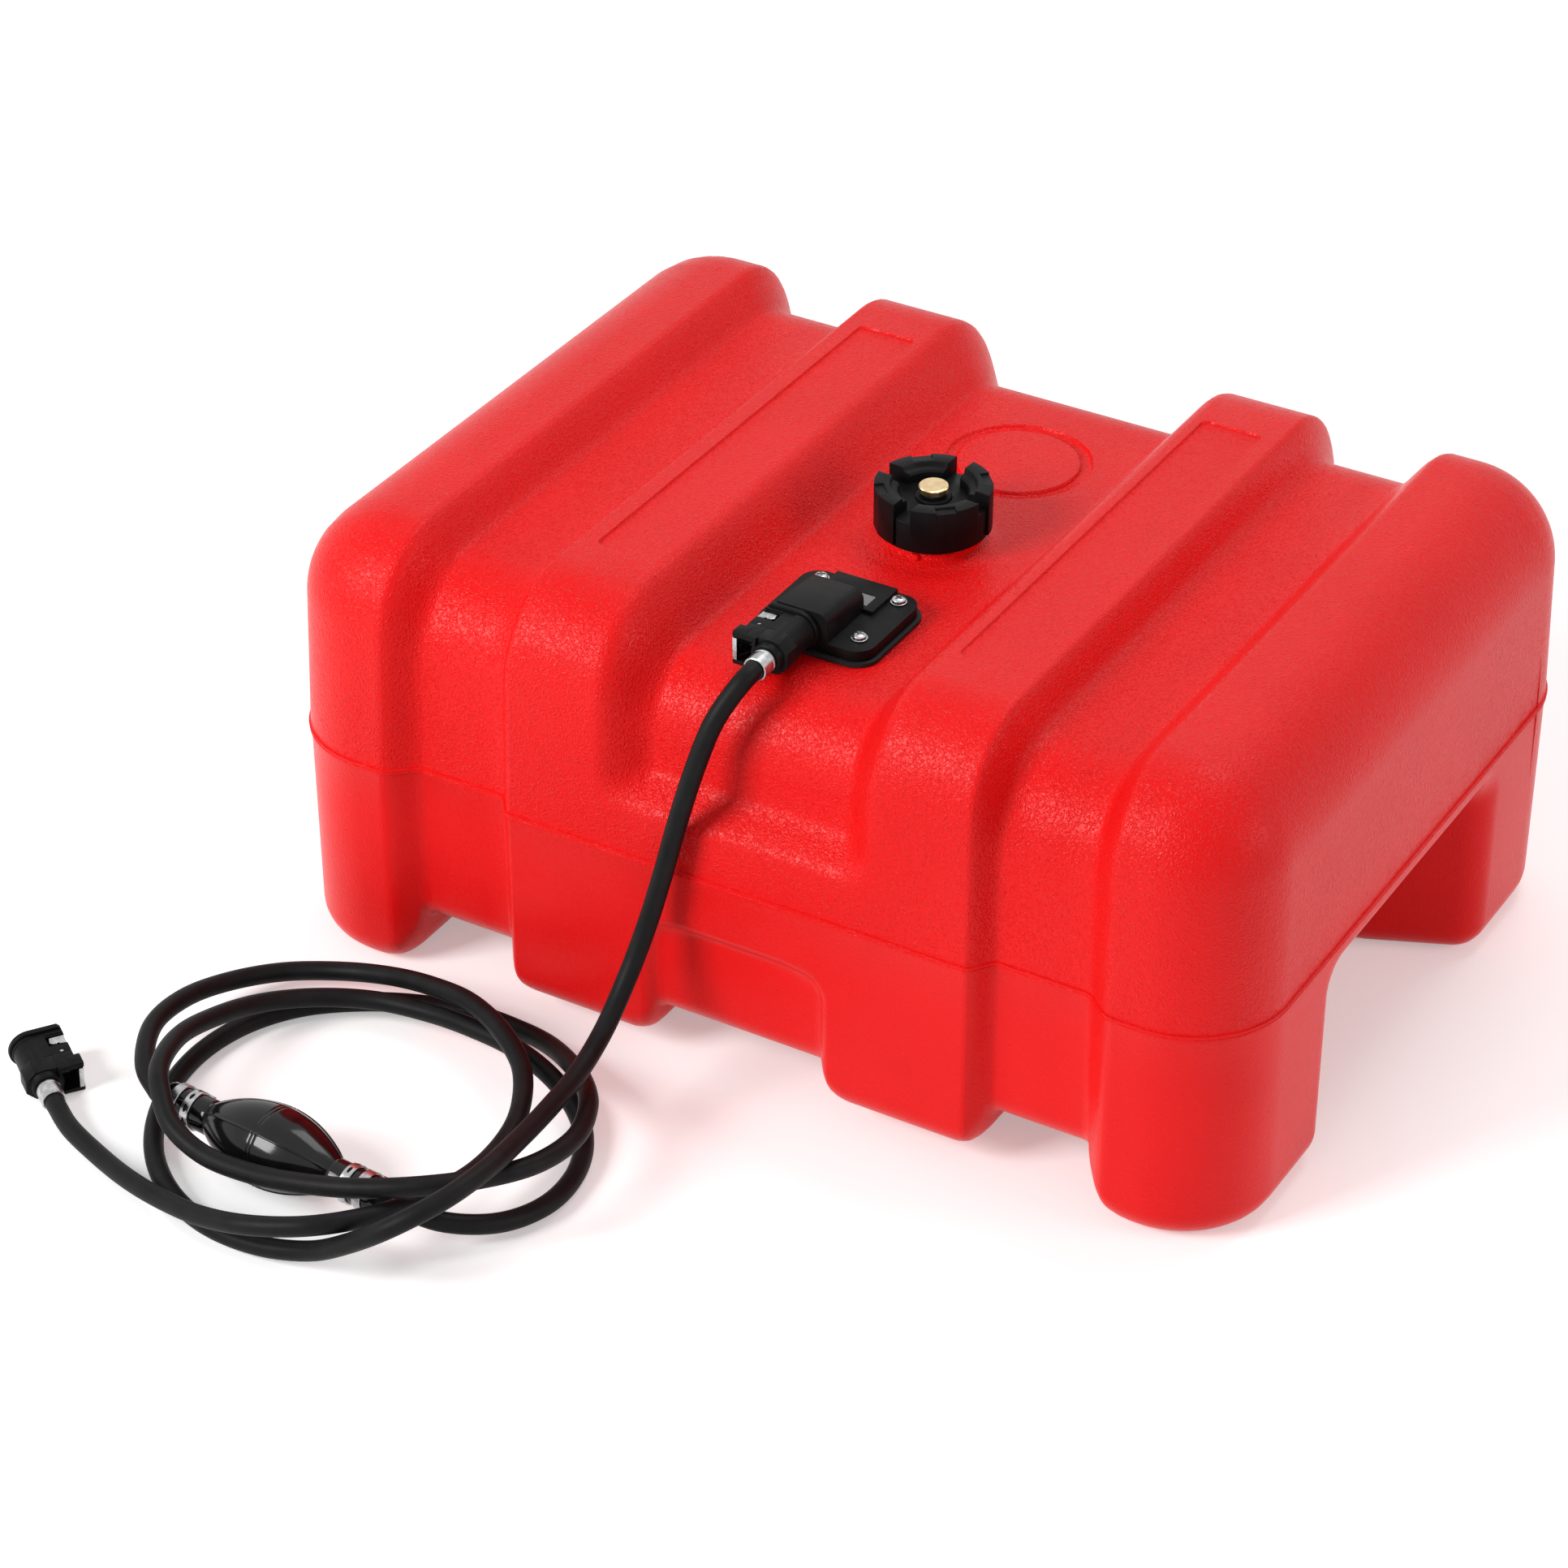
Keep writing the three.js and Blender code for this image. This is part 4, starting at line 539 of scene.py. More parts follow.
def weld():
    """Merges the doubled points of the active piece and turns its faces outward."""
    in_edit(bpy.ops.mesh.remove_doubles, threshold=1e-6)
    face_outward()


def extrude(move):
    """Raises the active flat piece by a move and turns its faces outward."""
    in_edit(bpy.ops.mesh.extrude_region_move, TRANSFORM_OT_translate={"value": move})
    face_outward()


def at(place, turn=0):
    """Moves to a place after a turn about Z in degrees."""
    return Matrix.Translation(place) @ Matrix.Rotation(radians(turn), 4, "Z")


def modified(piece, kind, **settings):
    """Adds a modifier to a piece and applies it."""
    choose(piece)
    modifier = piece.modifiers.new(kind.lower(), kind)
    for key, value in settings.items():
        setattr(modifier, key, value)
    bpy.ops.object.modifier_apply(modifier=modifier.name)
    return piece


def together(first, *others):
    """Joins meshes into the first one's object without changing their faces."""
    choose(first)
    for other in others:
        other.select_set(True)
    bpy.ops.object.join()
    return first


def combined(piece, operation, tools):
    for tool in tools:
        modified(piece, "BOOLEAN", operation=operation, solver="EXACT", object=tool)
        bpy.data.objects.remove(tool)
    return piece


def added(piece, *others):
    """Makes a piece and the others one solid, one after another."""
    return combined(piece, "UNION", others)


def cut(piece, *tools):
    """Takes the tools out of a piece, one after another."""
    return combined(piece, "DIFFERENCE", tools)


def offset(base, steps):
    """Profile points, each by its step from a base point."""
    return [(base[0] + r, base[1] + z) for r, z in steps]


def turned(name, profile, sides, axis="Z", centre=(0, 0, 0), closed=True):
    """A lathe shape from (radius, height) points, spun about an axis through centre."""
    points = [(r, 0, z) for r, z in profile]
    edges = [(i, i + 1) for i in range(len(points) - 1)]
    if closed:
        edges.append((len(points) - 1, 0))
    piece = new_piece(name, points, [], edges)
    in_edit(bpy.ops.mesh.spin, steps=sides, angle=2 * pi, center=(0, 0, 0), axis=(0, 0, 1))
    weld()
    turns = {"Z": Matrix(), "X": Matrix.Rotation(pi / 2, 4, "Y"),
             "Y": Matrix.Rotation(-pi / 2, 4, "X")}
    piece.data.transform(Matrix.Translation(centre) @ turns[axis])
    return piece


def rod(name, radius, start, end, axis="Z", centre=(0, 0, 0), sides=32):
    """A round bar from start to end along an axis, its ends closed."""
    return turned(name, [(0, start), (radius, start), (radius, end), (0, end)], sides, axis,
                  centre, closed=False)


def block(name, low, high):
    """A box between two corners, from a cube primitive."""
    bare()
    low, high = Vector(low), Vector(high)
    bpy.ops.mesh.primitive_cube_add(size=1, location=(low + high) / 2)
    piece = bpy.context.object
    piece.name = piece.data.name = name
    piece.scale = high - low
    bpy.ops.object.transform_apply(location=True, rotation=True, scale=True)
    return piece


def rounded_plate(name, low, high, corner, base, top):
    """A flat plate with round corners: a plane, its corners bevelled, then raised."""
    bare()
    middle = ((low[0] + high[0]) / 2, (low[1] + high[1]) / 2, base)
    bpy.ops.mesh.primitive_plane_add(size=1, location=middle)
    piece = bpy.context.object
    piece.name = piece.data.name = name
    piece.scale = (high[0] - low[0], high[1] - low[1], 1)
    bpy.ops.object.transform_apply(location=True, rotation=True, scale=True)
    in_edit(bpy.ops.mesh.bevel, offset=corner, segments=10, affect="VERTICES")
    extrude((0, 0, top - base))
    return piece


def softened(piece, width, angle=40, segments=2):
    """Rounds the sharp edges of a moulded or turned piece."""
    return modified(piece, "BEVEL", width=width, segments=segments, limit_method="ANGLE",
                    angle_limit=radians(angle))


def smooth(piece, angle=30):
    choose(piece)
    bpy.ops.object.shade_smooth_by_angle(angle=radians(angle))
    return piece


outside, outside_faces = skin(0, 8, 22, True, roll=12, foot=7, fillet=7, slope=8)
inside, inside_faces = skin(WALL, 3, 7, False, roll=4, foot=2, fillet=2, slope=2)
shell = new_piece("tank_moulding", outside + inside, outside_faces + [
    [i + len(outside) for i in face] for face in inside_faces])
for mend in (bpy.ops.mesh.remove_doubles, bpy.ops.mesh.dissolve_degenerate):
    in_edit(mend, threshold=2e-6)

NECK_Y, NECK_BORE, NECK_OUTER, NECK_TOP = -0.0026, 0.0254, 0.0294, 0.2844
COLLAR, COLLAR_TOP, TAB_TURN = 0.0304, 0.2685, 9
# Levels well under and well over the channel's floor, for what passes through it
UNDER_FLOOR, OVER_FLOOR = 0.25, 0.27
SCREWS = [(x, y) for y in (-0.1365, -0.0905) for x in (-0.026, 0.026)]
INSERT_BORE, INSERT_FOOT = 0.0041, 0.2503
FITTING_HOLE, FITTING_HOLE_Y = 0.025, -0.1135
neck_centre = (0, NECK_Y, 0)
neck = turned("neck", [
    (NECK_BORE, CHANNEL_FLOOR - 0.006), (NECK_OUTER, CHANNEL_FLOOR - 0.006),
    (NECK_OUTER, NECK_TOP - 0.0008), (NECK_OUTER - 0.0008, NECK_TOP),
    (NECK_BORE + 0.0006, NECK_TOP), (NECK_BORE, NECK_TOP - 0.0006)], 72, centre=neck_centre)
collar = turned("collar", [
    (NECK_BORE + 0.001, CHANNEL_FLOOR - 0.002),
    *offset((COLLAR, CHANNEL_FLOOR), [
        (0.0136, -0.002), (0.0136, -0.0001), (0.0105, 0.0002), (0.0078, 0.0008),
        (0.0052, 0.0018), (0.003, 0.0027), (0.0013, 0.0033), (0.0003, 0.0041)]),
    (COLLAR, COLLAR_TOP - 0.0007), (COLLAR - 0.0007, COLLAR_TOP),
    (NECK_BORE + 0.001, COLLAR_TOP)], 72, centre=neck_centre)
tab = softened(block("tab", (-0.0025, -COLLAR - 0.0026, CHANNEL_FLOOR - 0.002),
                     (0.0025, -COLLAR + 0.004, COLLAR_TOP)), 0.0006)
tab.data.transform(at(neck_centre, TAB_TURN))
bosses = [rod("boss", 0.0075, CHANNEL_FLOOR - 0.015, CHANNEL_FLOOR - 0.002,
              centre=(x, y, 0), sides=24) for x, y in SCREWS]
added(shell, neck, collar, tab, *bosses)

DISC_Y, DISC_INNER, DISC_OUTER, DISC_DEEP = 0.106, 0.038, 0.046, 0.0024
disc_floor = CHANNEL_FLOOR - DISC_DEEP
openings = [
    rod("neck_bore", NECK_BORE, UNDER_FLOOR, 0.29, centre=neck_centre, sides=72),
    rod("fitting_opening", FITTING_HOLE, UNDER_FLOOR, OVER_FLOOR,
        centre=(0, FITTING_HOLE_Y, 0), sides=48),
    turned("ring_recess", [
        (DISC_INNER - 0.0005, OVER_FLOOR), (DISC_INNER - 0.0005, CHANNEL_FLOOR + 0.00001),
        (DISC_INNER + 0.0002, CHANNEL_FLOOR - 0.0006), (DISC_INNER + 0.001, disc_floor + 0.0004),
        (DISC_INNER + 0.002, disc_floor), (DISC_OUTER - 0.003, disc_floor),
        (DISC_OUTER - 0.0012, disc_floor + 0.0006), (DISC_OUTER, CHANNEL_FLOOR + 0.00001),
        (DISC_OUTER, OVER_FLOOR)], 96, centre=(0, DISC_Y, 0)),
]
for side in (1, -1):
    low, high = sorted(side * x for x in LABEL_X)
    recess = rounded_plate("label_recess", (low, -LABEL_Y), (high, LABEL_Y), LABEL_CORNER,
                           HEIGHT - LABEL_DEEP, HEIGHT + 0.002)
    for vertex in recess.data.vertices:
        if vertex.co.z < HEIGHT:
            vertex.co.x -= copysign(LABEL_SLOPE, vertex.co.x - (low + high) / 2)
            vertex.co.y -= copysign(LABEL_SLOPE, vertex.co.y)
    openings.append(recess)
openings += [rod("insert_hole", INSERT_BORE, INSERT_FOOT, OVER_FLOOR, centre=(x, y, 0), sides=20)
             for x, y in SCREWS]
cut(shell, *openings)

# The moulded thread on the neck, under the cap
THREAD_TURNS, THREAD_PITCH, THREAD_PROUD, THREAD_START = 2.2, 0.0034, 0.0008, 0.2725
THREAD_RINGS, THREAD_IN, THREAD_HALF, THREAD_CREST = 159, 0.0006, 0.0012, 0.0004
thread_points = []
for i in range(THREAD_RINGS):
    share = i / (THREAD_RINGS - 1)
    turn = share * THREAD_TURNS * 2 * pi
    proud = THREAD_PROUD * min(1, 12 * share, 12 * (1 - share))
    level = THREAD_START + share * THREAD_TURNS * THREAD_PITCH
    for r, z in ((-THREAD_IN, -THREAD_HALF), (proud, -THREAD_CREST), (proud, THREAD_CREST),
                 (-THREAD_IN, THREAD_HALF)):
        radius = NECK_OUTER + r
        thread_points.append((radius * cos(turn), NECK_Y + radius * sin(turn), level + z))
last = len(thread_points) - 1
thread = new_piece("neck_thread", thread_points, ring_faces(THREAD_RINGS, 4) + [
    (0, 1, 2, 3), (last, last - 1, last - 2, last - 3)])
face_outward()

# The parting ridge: a thin flash line, a flat band and a second line under it
RIDGE = [(-0.002, 0.0018), (0.0001, 0.0018), (0.0006, 0.0016), (0.0011, 0.0013), (0.0011, 0.0009),
         (0.0006, 0.0006), (0.0005, -0.0006), (0.0009, -0.0009), (0.0009, -0.0013),
         (0.0002, -0.0017), (-0.002, -0.0018)]


def mirrored(plan, across, along):
    return [[Vector((v.x * across, v.y * along)) for v in pair] for pair in plan]


right = []
for x in [x for x in stations(0, 8, 22) if x >= 0]:
    edge = Vector((x, face_at(x, 0, 0)))
    if x > CORNER_X:
        out = edge - Vector((CORNER_X, CORNER_Y))
    else:
        out = Vector(((face_at(x - 1e-5, 0, 0) - face_at(x + 1e-5, 0, 0)) / 2e-5, 1))
    right.append((edge, out.normalized()))
plan = [*mirrored(right, 1, -1), *right[::-1], *mirrored(right[1:], -1, 1),
        *mirrored(right[:0:-1], -1, -1)]
ridge = new_piece("parting_ridge",
                  [(*(p + n * out), PARTING + up) for p, n in plan for out, up in RIDGE],
                  ring_faces(len(plan), len(RIDGE), loop=True))
weld()
smooth(together(shell, thread, ridge), 32)

# The grain's pebbles stand where a noise leaves its middle, and are fainter below the ridge
red_moulding = Finish("red_moulding", specular_ior_level=0.17)
cells = red_moulding.noise(470, 1.0, 0.4, 0.6) * 2 - 1
pebbles = abs(cells).ramp(0.0, 0.55)
upper = red_moulding.height().ramp(0.135, 0.16)
grain = pebbles * (upper * 0.72 + 0.28) + red_moulding.noise(1400, 2.0) * 0.12
patches = red_moulding.noise(14, 3.0).ramp(0.25, 0.75)
red_moulding.shows(
    base_color=red_moulding.mixed(patches, (0.79, 0.0055, 0.006), (0.83, 0.0065, 0.007)),
    roughness=red_moulding.noise(220, 2.0) * 0.1 + 0.25,
).bumped(grain, 0.00034)
dressed(shell, red_moulding, "tank", "tank_shell")

# Filler cap
# A moulded black screw cap: a skirt that turns onto the neck, a dished top and four grip
# pads with a flat in front and a notch on top. It seals on a flat rubber ring inside.
CAP_TURN = -3.5
CAP_TOP, CAP_FLOOR, CAP_CEILING, CAP_BASE = 0.2997, 0.29, 0.287, 0.2725
CAP_SIDES, CAP_REACH, UNDER_CAP, OVER_CAP = 96, 0.04, 0.27, 0.302
SLOT_HALF, NOTCH_HALF, FLAT_HALF = 0.00575, 0.006, 0.0062
cap = turned("screw_cap", [
    (0.0033, CAP_CEILING), (0.0303, CAP_CEILING), (0.0303, CAP_BASE - 0.002),
    (0.0332, CAP_BASE - 0.002), (0.0337, CAP_BASE - 0.0015),
    *offset((0, CAP_FLOOR), [
        (0.0337, -0.0012), (0.0333, -0.0004), (0.0325, 0), (0.0122, 0), (0.0112, 0.0005),
        (0.011, 0.0019), (0.0104, 0.0025), (0.0033, 0.0025)])], CAP_SIDES)
pads = turned("grip_pads", [
    (0.021, CAP_FLOOR - 0.0015), (0.032, CAP_FLOOR - 0.0015), (0.032, CAP_BASE),
    (0.0355, CAP_BASE), (0.0355, CAP_TOP), (0.0262, CAP_TOP), (0.0253, CAP_TOP - 0.0028),
    (0.0222, CAP_TOP - 0.0033), (0.021, CAP_TOP - 0.0045)], CAP_SIDES)
cut(pads, block("slot_along", (-CAP_REACH, -SLOT_HALF, UNDER_CAP),
                (CAP_REACH, SLOT_HALF, OVER_CAP)),
    block("slot_across", (-SLOT_HALF, -CAP_REACH, UNDER_CAP), (SLOT_HALF, CAP_REACH, OVER_CAP)))
for pad_turn in (45, 135, 225, 315):
    for tool in (block("notch", (0.0292, -NOTCH_HALF, CAP_TOP - 0.0012),
                       (CAP_REACH, NOTCH_HALF, OVER_CAP)),
                 block("flat", (0.0351, -FLAT_HALF, UNDER_CAP), (CAP_REACH, FLAT_HALF, OVER_CAP))):
        tool.data.transform(at((0, 0, 0), pad_turn))
        cut(pads, tool)
softened(pads, 0.00055, 30)
added(cap, pads)
cap.data.transform(at(neck_centre, CAP_TURN))
smooth(cap)
black_moulding = uneven("black_moulding", (90, 3, 0.3, 0.7),
                        [(0.0045, 0.0045, 0.005), (0.007, 0.007, 0.0075)],
                        (500, 2, 0.12, 0.36), (2200, 2, 0.00005), specular_ior_level=0.09)
dressed(cap, black_moulding, "cap", "filler_cap")


def finish_nodes(finish, *names):
    """CAD nodes whose shape is right keep it, with a full finish on their slots."""
    for name in names:
        for place in nodes[name].material_slots:
            place.link = "OBJECT"
            place.material = finish.material


seal_rubber = uneven("seal_rubber", (300, 3, 0.3, 0.7),
                     [(0.011, 0.011, 0.012), (0.018, 0.018, 0.019)],
                     (700, 2, 0.15, 0.6), (1500, 2, 0.00006), specular_ior_level=0.3)
finish_nodes(seal_rubber, "cap_gasket", "vent_seal", "fitting_gasket", "tank_connector_oring",
             "engine_connector_oring")

# Vent screw
# A brass screw through the cap's middle that is loosened to let air in: a turned stem, a
# rubber seal, and a knob with a straight knurl round its edge and a machined flat top.
KNOB_BASE, KNOB_TOP, KNOB_RADIUS, KNURLS, KNURL_FOOT = 0.2946, 0.299, 0.0091, 56, 0.958
knob = turned("vent_thumb_knob", [
    (0.0026, KNOB_BASE), (0.0085, KNOB_BASE), (KNOB_RADIUS, KNOB_BASE + 0.0005),
    (KNOB_RADIUS, KNOB_TOP - 0.0009), (0.0086, KNOB_TOP - 0.0003), (0.008, KNOB_TOP),
    (0.00001, KNOB_TOP), (0.00001, 0.2978), (0.0026, 0.2978)], 2 * KNURLS)
for vertex in knob.data.vertices:
    if vertex.co.xy.length > 0.0088:
        turn = atan2(vertex.co.y, vertex.co.x) * KNURLS
        vertex.co.xy = vertex.co.xy * (1 if cos(turn) > 0 else KNURL_FOOT)
knob.data.transform(at(neck_centre))
smooth(knob, 25)

brass = Finish("turned_brass", metallic=1.0)
turning = brass.noise(1, 3, place=brass.stretched((0.02, 0.02, 0.0004), neck_centre))
brass.shows(
    base_color=brass.mixed(brass.noise(260, 3).ramp(0.3, 0.75), (0.69, 0.50, 0.27),
                           (0.79, 0.61, 0.36)),
    roughness=turning * 0.14 + 0.24,
).bumped(turning, 0.00004)
dressed(knob, brass, "vent_screw", "vent_knob")
finish_nodes(brass, "vent_stem", "outlet_spigot", "bulb_inlet_valve", "bulb_outlet_valve",
             *(f"threaded_insert_{i}" for i in range(1, 5)))

# Gauge and outlet fitting
# One black moulding closes the hole in front of the cap. It carries the outlet housing,
# the gauge window and, below it, the lugs for the float's shaft and the pickup's boss.
FLANGE_BASE, FLANGE_TOP, PLATFORM_TOP, PLATFORM_BACK = 0.2645, 0.2713, 0.2739, -0.0811
OUTLET_X, OUTLET_Z, OUTLET_FRONT = -0.004, 0.277, -0.151
HOUSING_BACK, HOUSING_TOP, HOUSING_BACK_TOP, HOUSING_ROUNDING = -0.109, 0.29, 0.286, 0.007
WINDOW_BACK, WINDOW_FRONT, WINDOW_HALF, WINDOW_SINK = -0.0955, -0.1071, 0.014, 0.0023
fitting = rounded_plate("gauge_and_outlet_fitting", (-0.038, OUTLET_FRONT), (0.038, -0.081),
                        0.012, FLANGE_BASE, FLANGE_TOP)
platform = block("platform", (-0.0202, -0.111, FLANGE_TOP - 0.002),
                 (0.0202, PLATFORM_BACK, PLATFORM_TOP))
housing = block("housing", (-0.0203, OUTLET_FRONT, FLANGE_TOP - 0.002),
                (0.0132, HOUSING_BACK, HOUSING_TOP))
for vertex in housing.data.vertices:
    if vertex.co.z > 0.28 and vertex.co.y > -0.12:
        vertex.co.z = HOUSING_BACK_TOP
# Only the housing's upper right edge is rounded wide
choose(housing)
bpy.ops.object.mode_set(mode="EDIT")
bpy.ops.mesh.select_all(action="DESELECT")
bpy.ops.object.mode_set(mode="OBJECT")
for edge in housing.data.edges:
    ends = [housing.data.vertices[i].co for i in edge.vertices]
    edge.select = all(p.x > 0 and p.z > 0.28 for p in ends)
bpy.ops.object.mode_set(mode="EDIT")
bpy.ops.mesh.select_mode(type="EDGE")
bpy.ops.mesh.bevel(offset=HOUSING_ROUNDING, segments=8)
bpy.ops.mesh.select_mode(type="VERT")
bpy.ops.object.mode_set(mode="OBJECT")
added(fitting, platform, housing)
cut(fitting,
    block("window_seat", (-WINDOW_HALF, WINDOW_FRONT, PLATFORM_TOP - WINDOW_SINK),
          (WINDOW_HALF, WINDOW_BACK, 0.28)),
    block("pointer_slot", (-0.013, -0.1054, 0.26), (0.013, -0.0986, 0.28)))
softened(fitting, 0.0007, 35, 3)

# What is under the flange: a ring in the tank's hole, the pickup's boss and the shaft's lugs
REGISTER_IN, REGISTER_OUT, LUG_HALF, LUG_FOOT = 0.0217, 0.0247, 0.006, 0.2516
PICKUP, SHAFT_Z, POST_X, SEAT_BORE, SMALL_BORE = (-0.004, -0.128, 0), 0.256, -0.015, 0.0043, 0.0023
into_flange, far_in = FLANGE_BASE + 0.002, FLANGE_BASE + 0.003
added(fitting,
      turned("register", [
          (REGISTER_IN, CHANNEL_FLOOR - 0.002), (REGISTER_OUT, CHANNEL_FLOOR - 0.002),
          (REGISTER_OUT, into_flange), (REGISTER_IN, into_flange)], 48,
          centre=(0, FITTING_HOLE_Y, 0)),
      rod("pickup_boss", 0.0065, 0.249, far_in, centre=PICKUP),
      block("lug_front", (-LUG_HALF, -0.12, LUG_FOOT), (LUG_HALF, -0.117, far_in)),
      block("lug_back", (-LUG_HALF, -0.109, LUG_FOOT), (LUG_HALF, -0.106, far_in)))
cut(fitting,
    rod("spigot_seat", SEAT_BORE, -0.153, -0.143, "Y", (OUTLET_X, 0, OUTLET_Z)),
    rod("post_seat", SMALL_BORE, -0.153, -0.143, "Y", (POST_X, 0, OUTLET_Z), 20),
    rod("shaft_hole", SMALL_BORE, -0.123, -0.0996, "Y", (0, 0, SHAFT_Z), 20),
    rod("tube_seat", SEAT_BORE, 0.247, 0.259, centre=PICKUP),
    *(rod("screw_hole", SMALL_BORE, 0.26, 0.275, centre=(x, y, 0), sides=20) for x, y in SCREWS))
smooth(fitting, 35)
dressed(fitting, black_moulding, "tank", "fitting_body")
clear_plastic = uneven("gauge_window", (400, 2), [(0.48, 0.5, 0.51), (0.52, 0.54, 0.55)],
                       (300, 2, 0.08, 0.16), transmission_weight=0.55, ior=1.4)
finish_nodes(clear_plastic, "gauge_window")

# Fitting screws
# Four plated pan-head screws with cross recesses, each on a flat washer, hold the fitting
# and its gasket down into brass inserts that are moulded into the tank's bosses.
plated_steel = uneven("plated_steel", (320, 3, 0.35, 0.7),
                      [(0.40, 0.40, 0.41), (0.56, 0.56, 0.56)],
                      (420, 3, 0.16, 0.2), (1300, 2, 0.00004), metallic=1.0)
HEAD_BASE, CROSS_LONG, CROSS_HALF = 0.2727, 0.0026, 0.0007
WASHER_BORE, WASHER_EDGE, WASHER_BASE, WASHER_TOP = 0.0023, 0.005, 0.2716, 0.2724


def copied(source, name, matrix):
    """A copy of a piece with its own mesh, moved to its place."""
    copy = source.copy()
    copy.data = source.data.copy()
    copy.name = name
    bpy.context.collection.objects.link(copy)
    copy.data.transform(matrix)
    return copy


screw = turned("pan_head_screw", offset((0, HEAD_BASE), [
    (0, -0.019), (0.0014, -0.019), (0.002, -0.018), (0.002, 0), (0.0039, 0), (0.0042, 0.0003),
    (0.0041, 0.0011), (0.0035, 0.0018), (0.0024, 0.0022), (0, 0.0024)]), 40, closed=False)
for turn in (20, 110):
    arm = block("cross", (-CROSS_LONG, -CROSS_HALF, HEAD_BASE + 0.0008),
                (CROSS_LONG, CROSS_HALF, 0.28))
    arm.data.transform(at((0, 0, 0), turn))
    cut(screw, arm)
washer = softened(turned("flat_washer", [
    (WASHER_BORE, WASHER_BASE), (WASHER_EDGE, WASHER_BASE), (WASHER_EDGE, WASHER_TOP),
    (WASHER_BORE, WASHER_TOP)], 40), 0.0002)
for source in (screw, washer):
    smooth(source)
for i, (x, y) in enumerate(SCREWS, 1):
    for source, kind, node in ((screw, "screw", "fitting_screw"),
                               (washer, "washer", "screw_washer")):
        dressed(copied(source, f"fitting_{kind}_piece_{i}", at((x, y, 0), 35 * i)),
                plated_steel, "tank", f"{node}_{i}")
for source in (screw, washer):
    bpy.data.objects.remove(source)

# Gauge, pickup and latch post
# Inside the tank a cork float on a steel arm turns the red pointer under the window, and a
# white tube with a strainer reaches the tank's floor. They keep the shapes of the CAD.
cork = uneven("varnished_cork", (240, 4, 0.35, 0.65), [(0.1, 0.05, 0.022), (0.3, 0.17, 0.08)],
              (500, 2, 0.2, 0.55), (700, 4, 0.0003), specular_ior_level=0.3)
finish_nodes(cork, "float")
nylon = uneven("natural_nylon", (120, 3), [(0.7, 0.69, 0.64), (0.8, 0.79, 0.75)],
               (600, 2, 0.1, 0.4), (1200, 2, 0.00005), specular_ior_level=0.4)
finish_nodes(nylon, "pickup_tube", "pickup_strainer")
pointer_red = uneven("pointer_red", (300, 2), [(0.55, 0.02, 0.015), (0.65, 0.03, 0.02)],
                     (800, 2, 0.1, 0.45), specular_ior_level=0.4)
finish_nodes(pointer_red, "gauge_pointer")
finish_nodes(plated_steel, "float_arm", "latch_post", "tank_connector_pin",
             "engine_connector_pin")

# Hose connectors
# Two equal black connectors end the hose line. Each has a round mouth with an O-ring for
# the spigot, a case beside it for a sprung steel latch on a pin, and a boss for the hose.
BARREL, BARREL_SIDES, PIN_PLACE, PIN_BORE = 0.0108, 64, (-0.0146, -0.022, 0), 0.0014


def along_y(name, outline, start, end):
    """A bar along Y from an outline in X and Z."""
    piece = new_piece(name, [(x, start, z) for x, z in outline], [range(len(outline))])
    extrude((0, end - start, 0))
    return piece


def along_z(name, outline, low, high):
    """A flat plate from low to high with an outline in X and Y."""
    piece = new_piece(name, [(x, y, low) for x, y in outline], [range(len(outline))])
    extrude((0, 0, high - low))
    return piece


arc = [(0.0125 * sin(pi * i / 32), -0.0125 * cos(pi * i / 32))
       for i in range(33)]
connector = softened(along_y("connector_rim", [
    (-0.018, -0.0125), *arc, (-0.018, 0.0125), (-0.02, 0.0105), (-0.02, -0.0105)],
    -0.0035, 0), 0.0005, 30)
added(connector,
      rod("barrel", BARREL, -0.036, -0.002, "Y", sides=BARREL_SIDES),
      softened(block("case", (-0.02, -0.024, -0.0105), (0, -0.0018, 0.0105)), 0.0004),
      softened(along_y("rear_block", [
          (-0.008, -0.0105), (0.006, -0.0105), (0.012, -0.0045), (0.012, 0.0045),
          (0.006, 0.0105), (-0.008, 0.0105)], -0.036, -0.024), 0.0006, 30),
      softened(block("ears", (-0.02, -0.038, -0.0105), (-0.0078, -0.0238, 0.0105)), 0.0006),
      softened(block("ear_ends", (-0.0234, -0.0378, -0.0109), (-0.015, -0.0285, 0.0109)),
               0.0008),
      block("case_rib", (-0.0197, -0.0068, -0.0111), (-0.0085, -0.0059, 0.0111)),
      turned("hose_boss", [
          (0, -0.04), (0.0082, -0.04), (0.009, -0.0393), (0.0095, -0.0365), (0.0104, -0.0345),
          (0, -0.0345)], BARREL_SIDES, "Y", closed=False),
      rod("barb", 0.0037, -0.052, -0.038, "Y"))
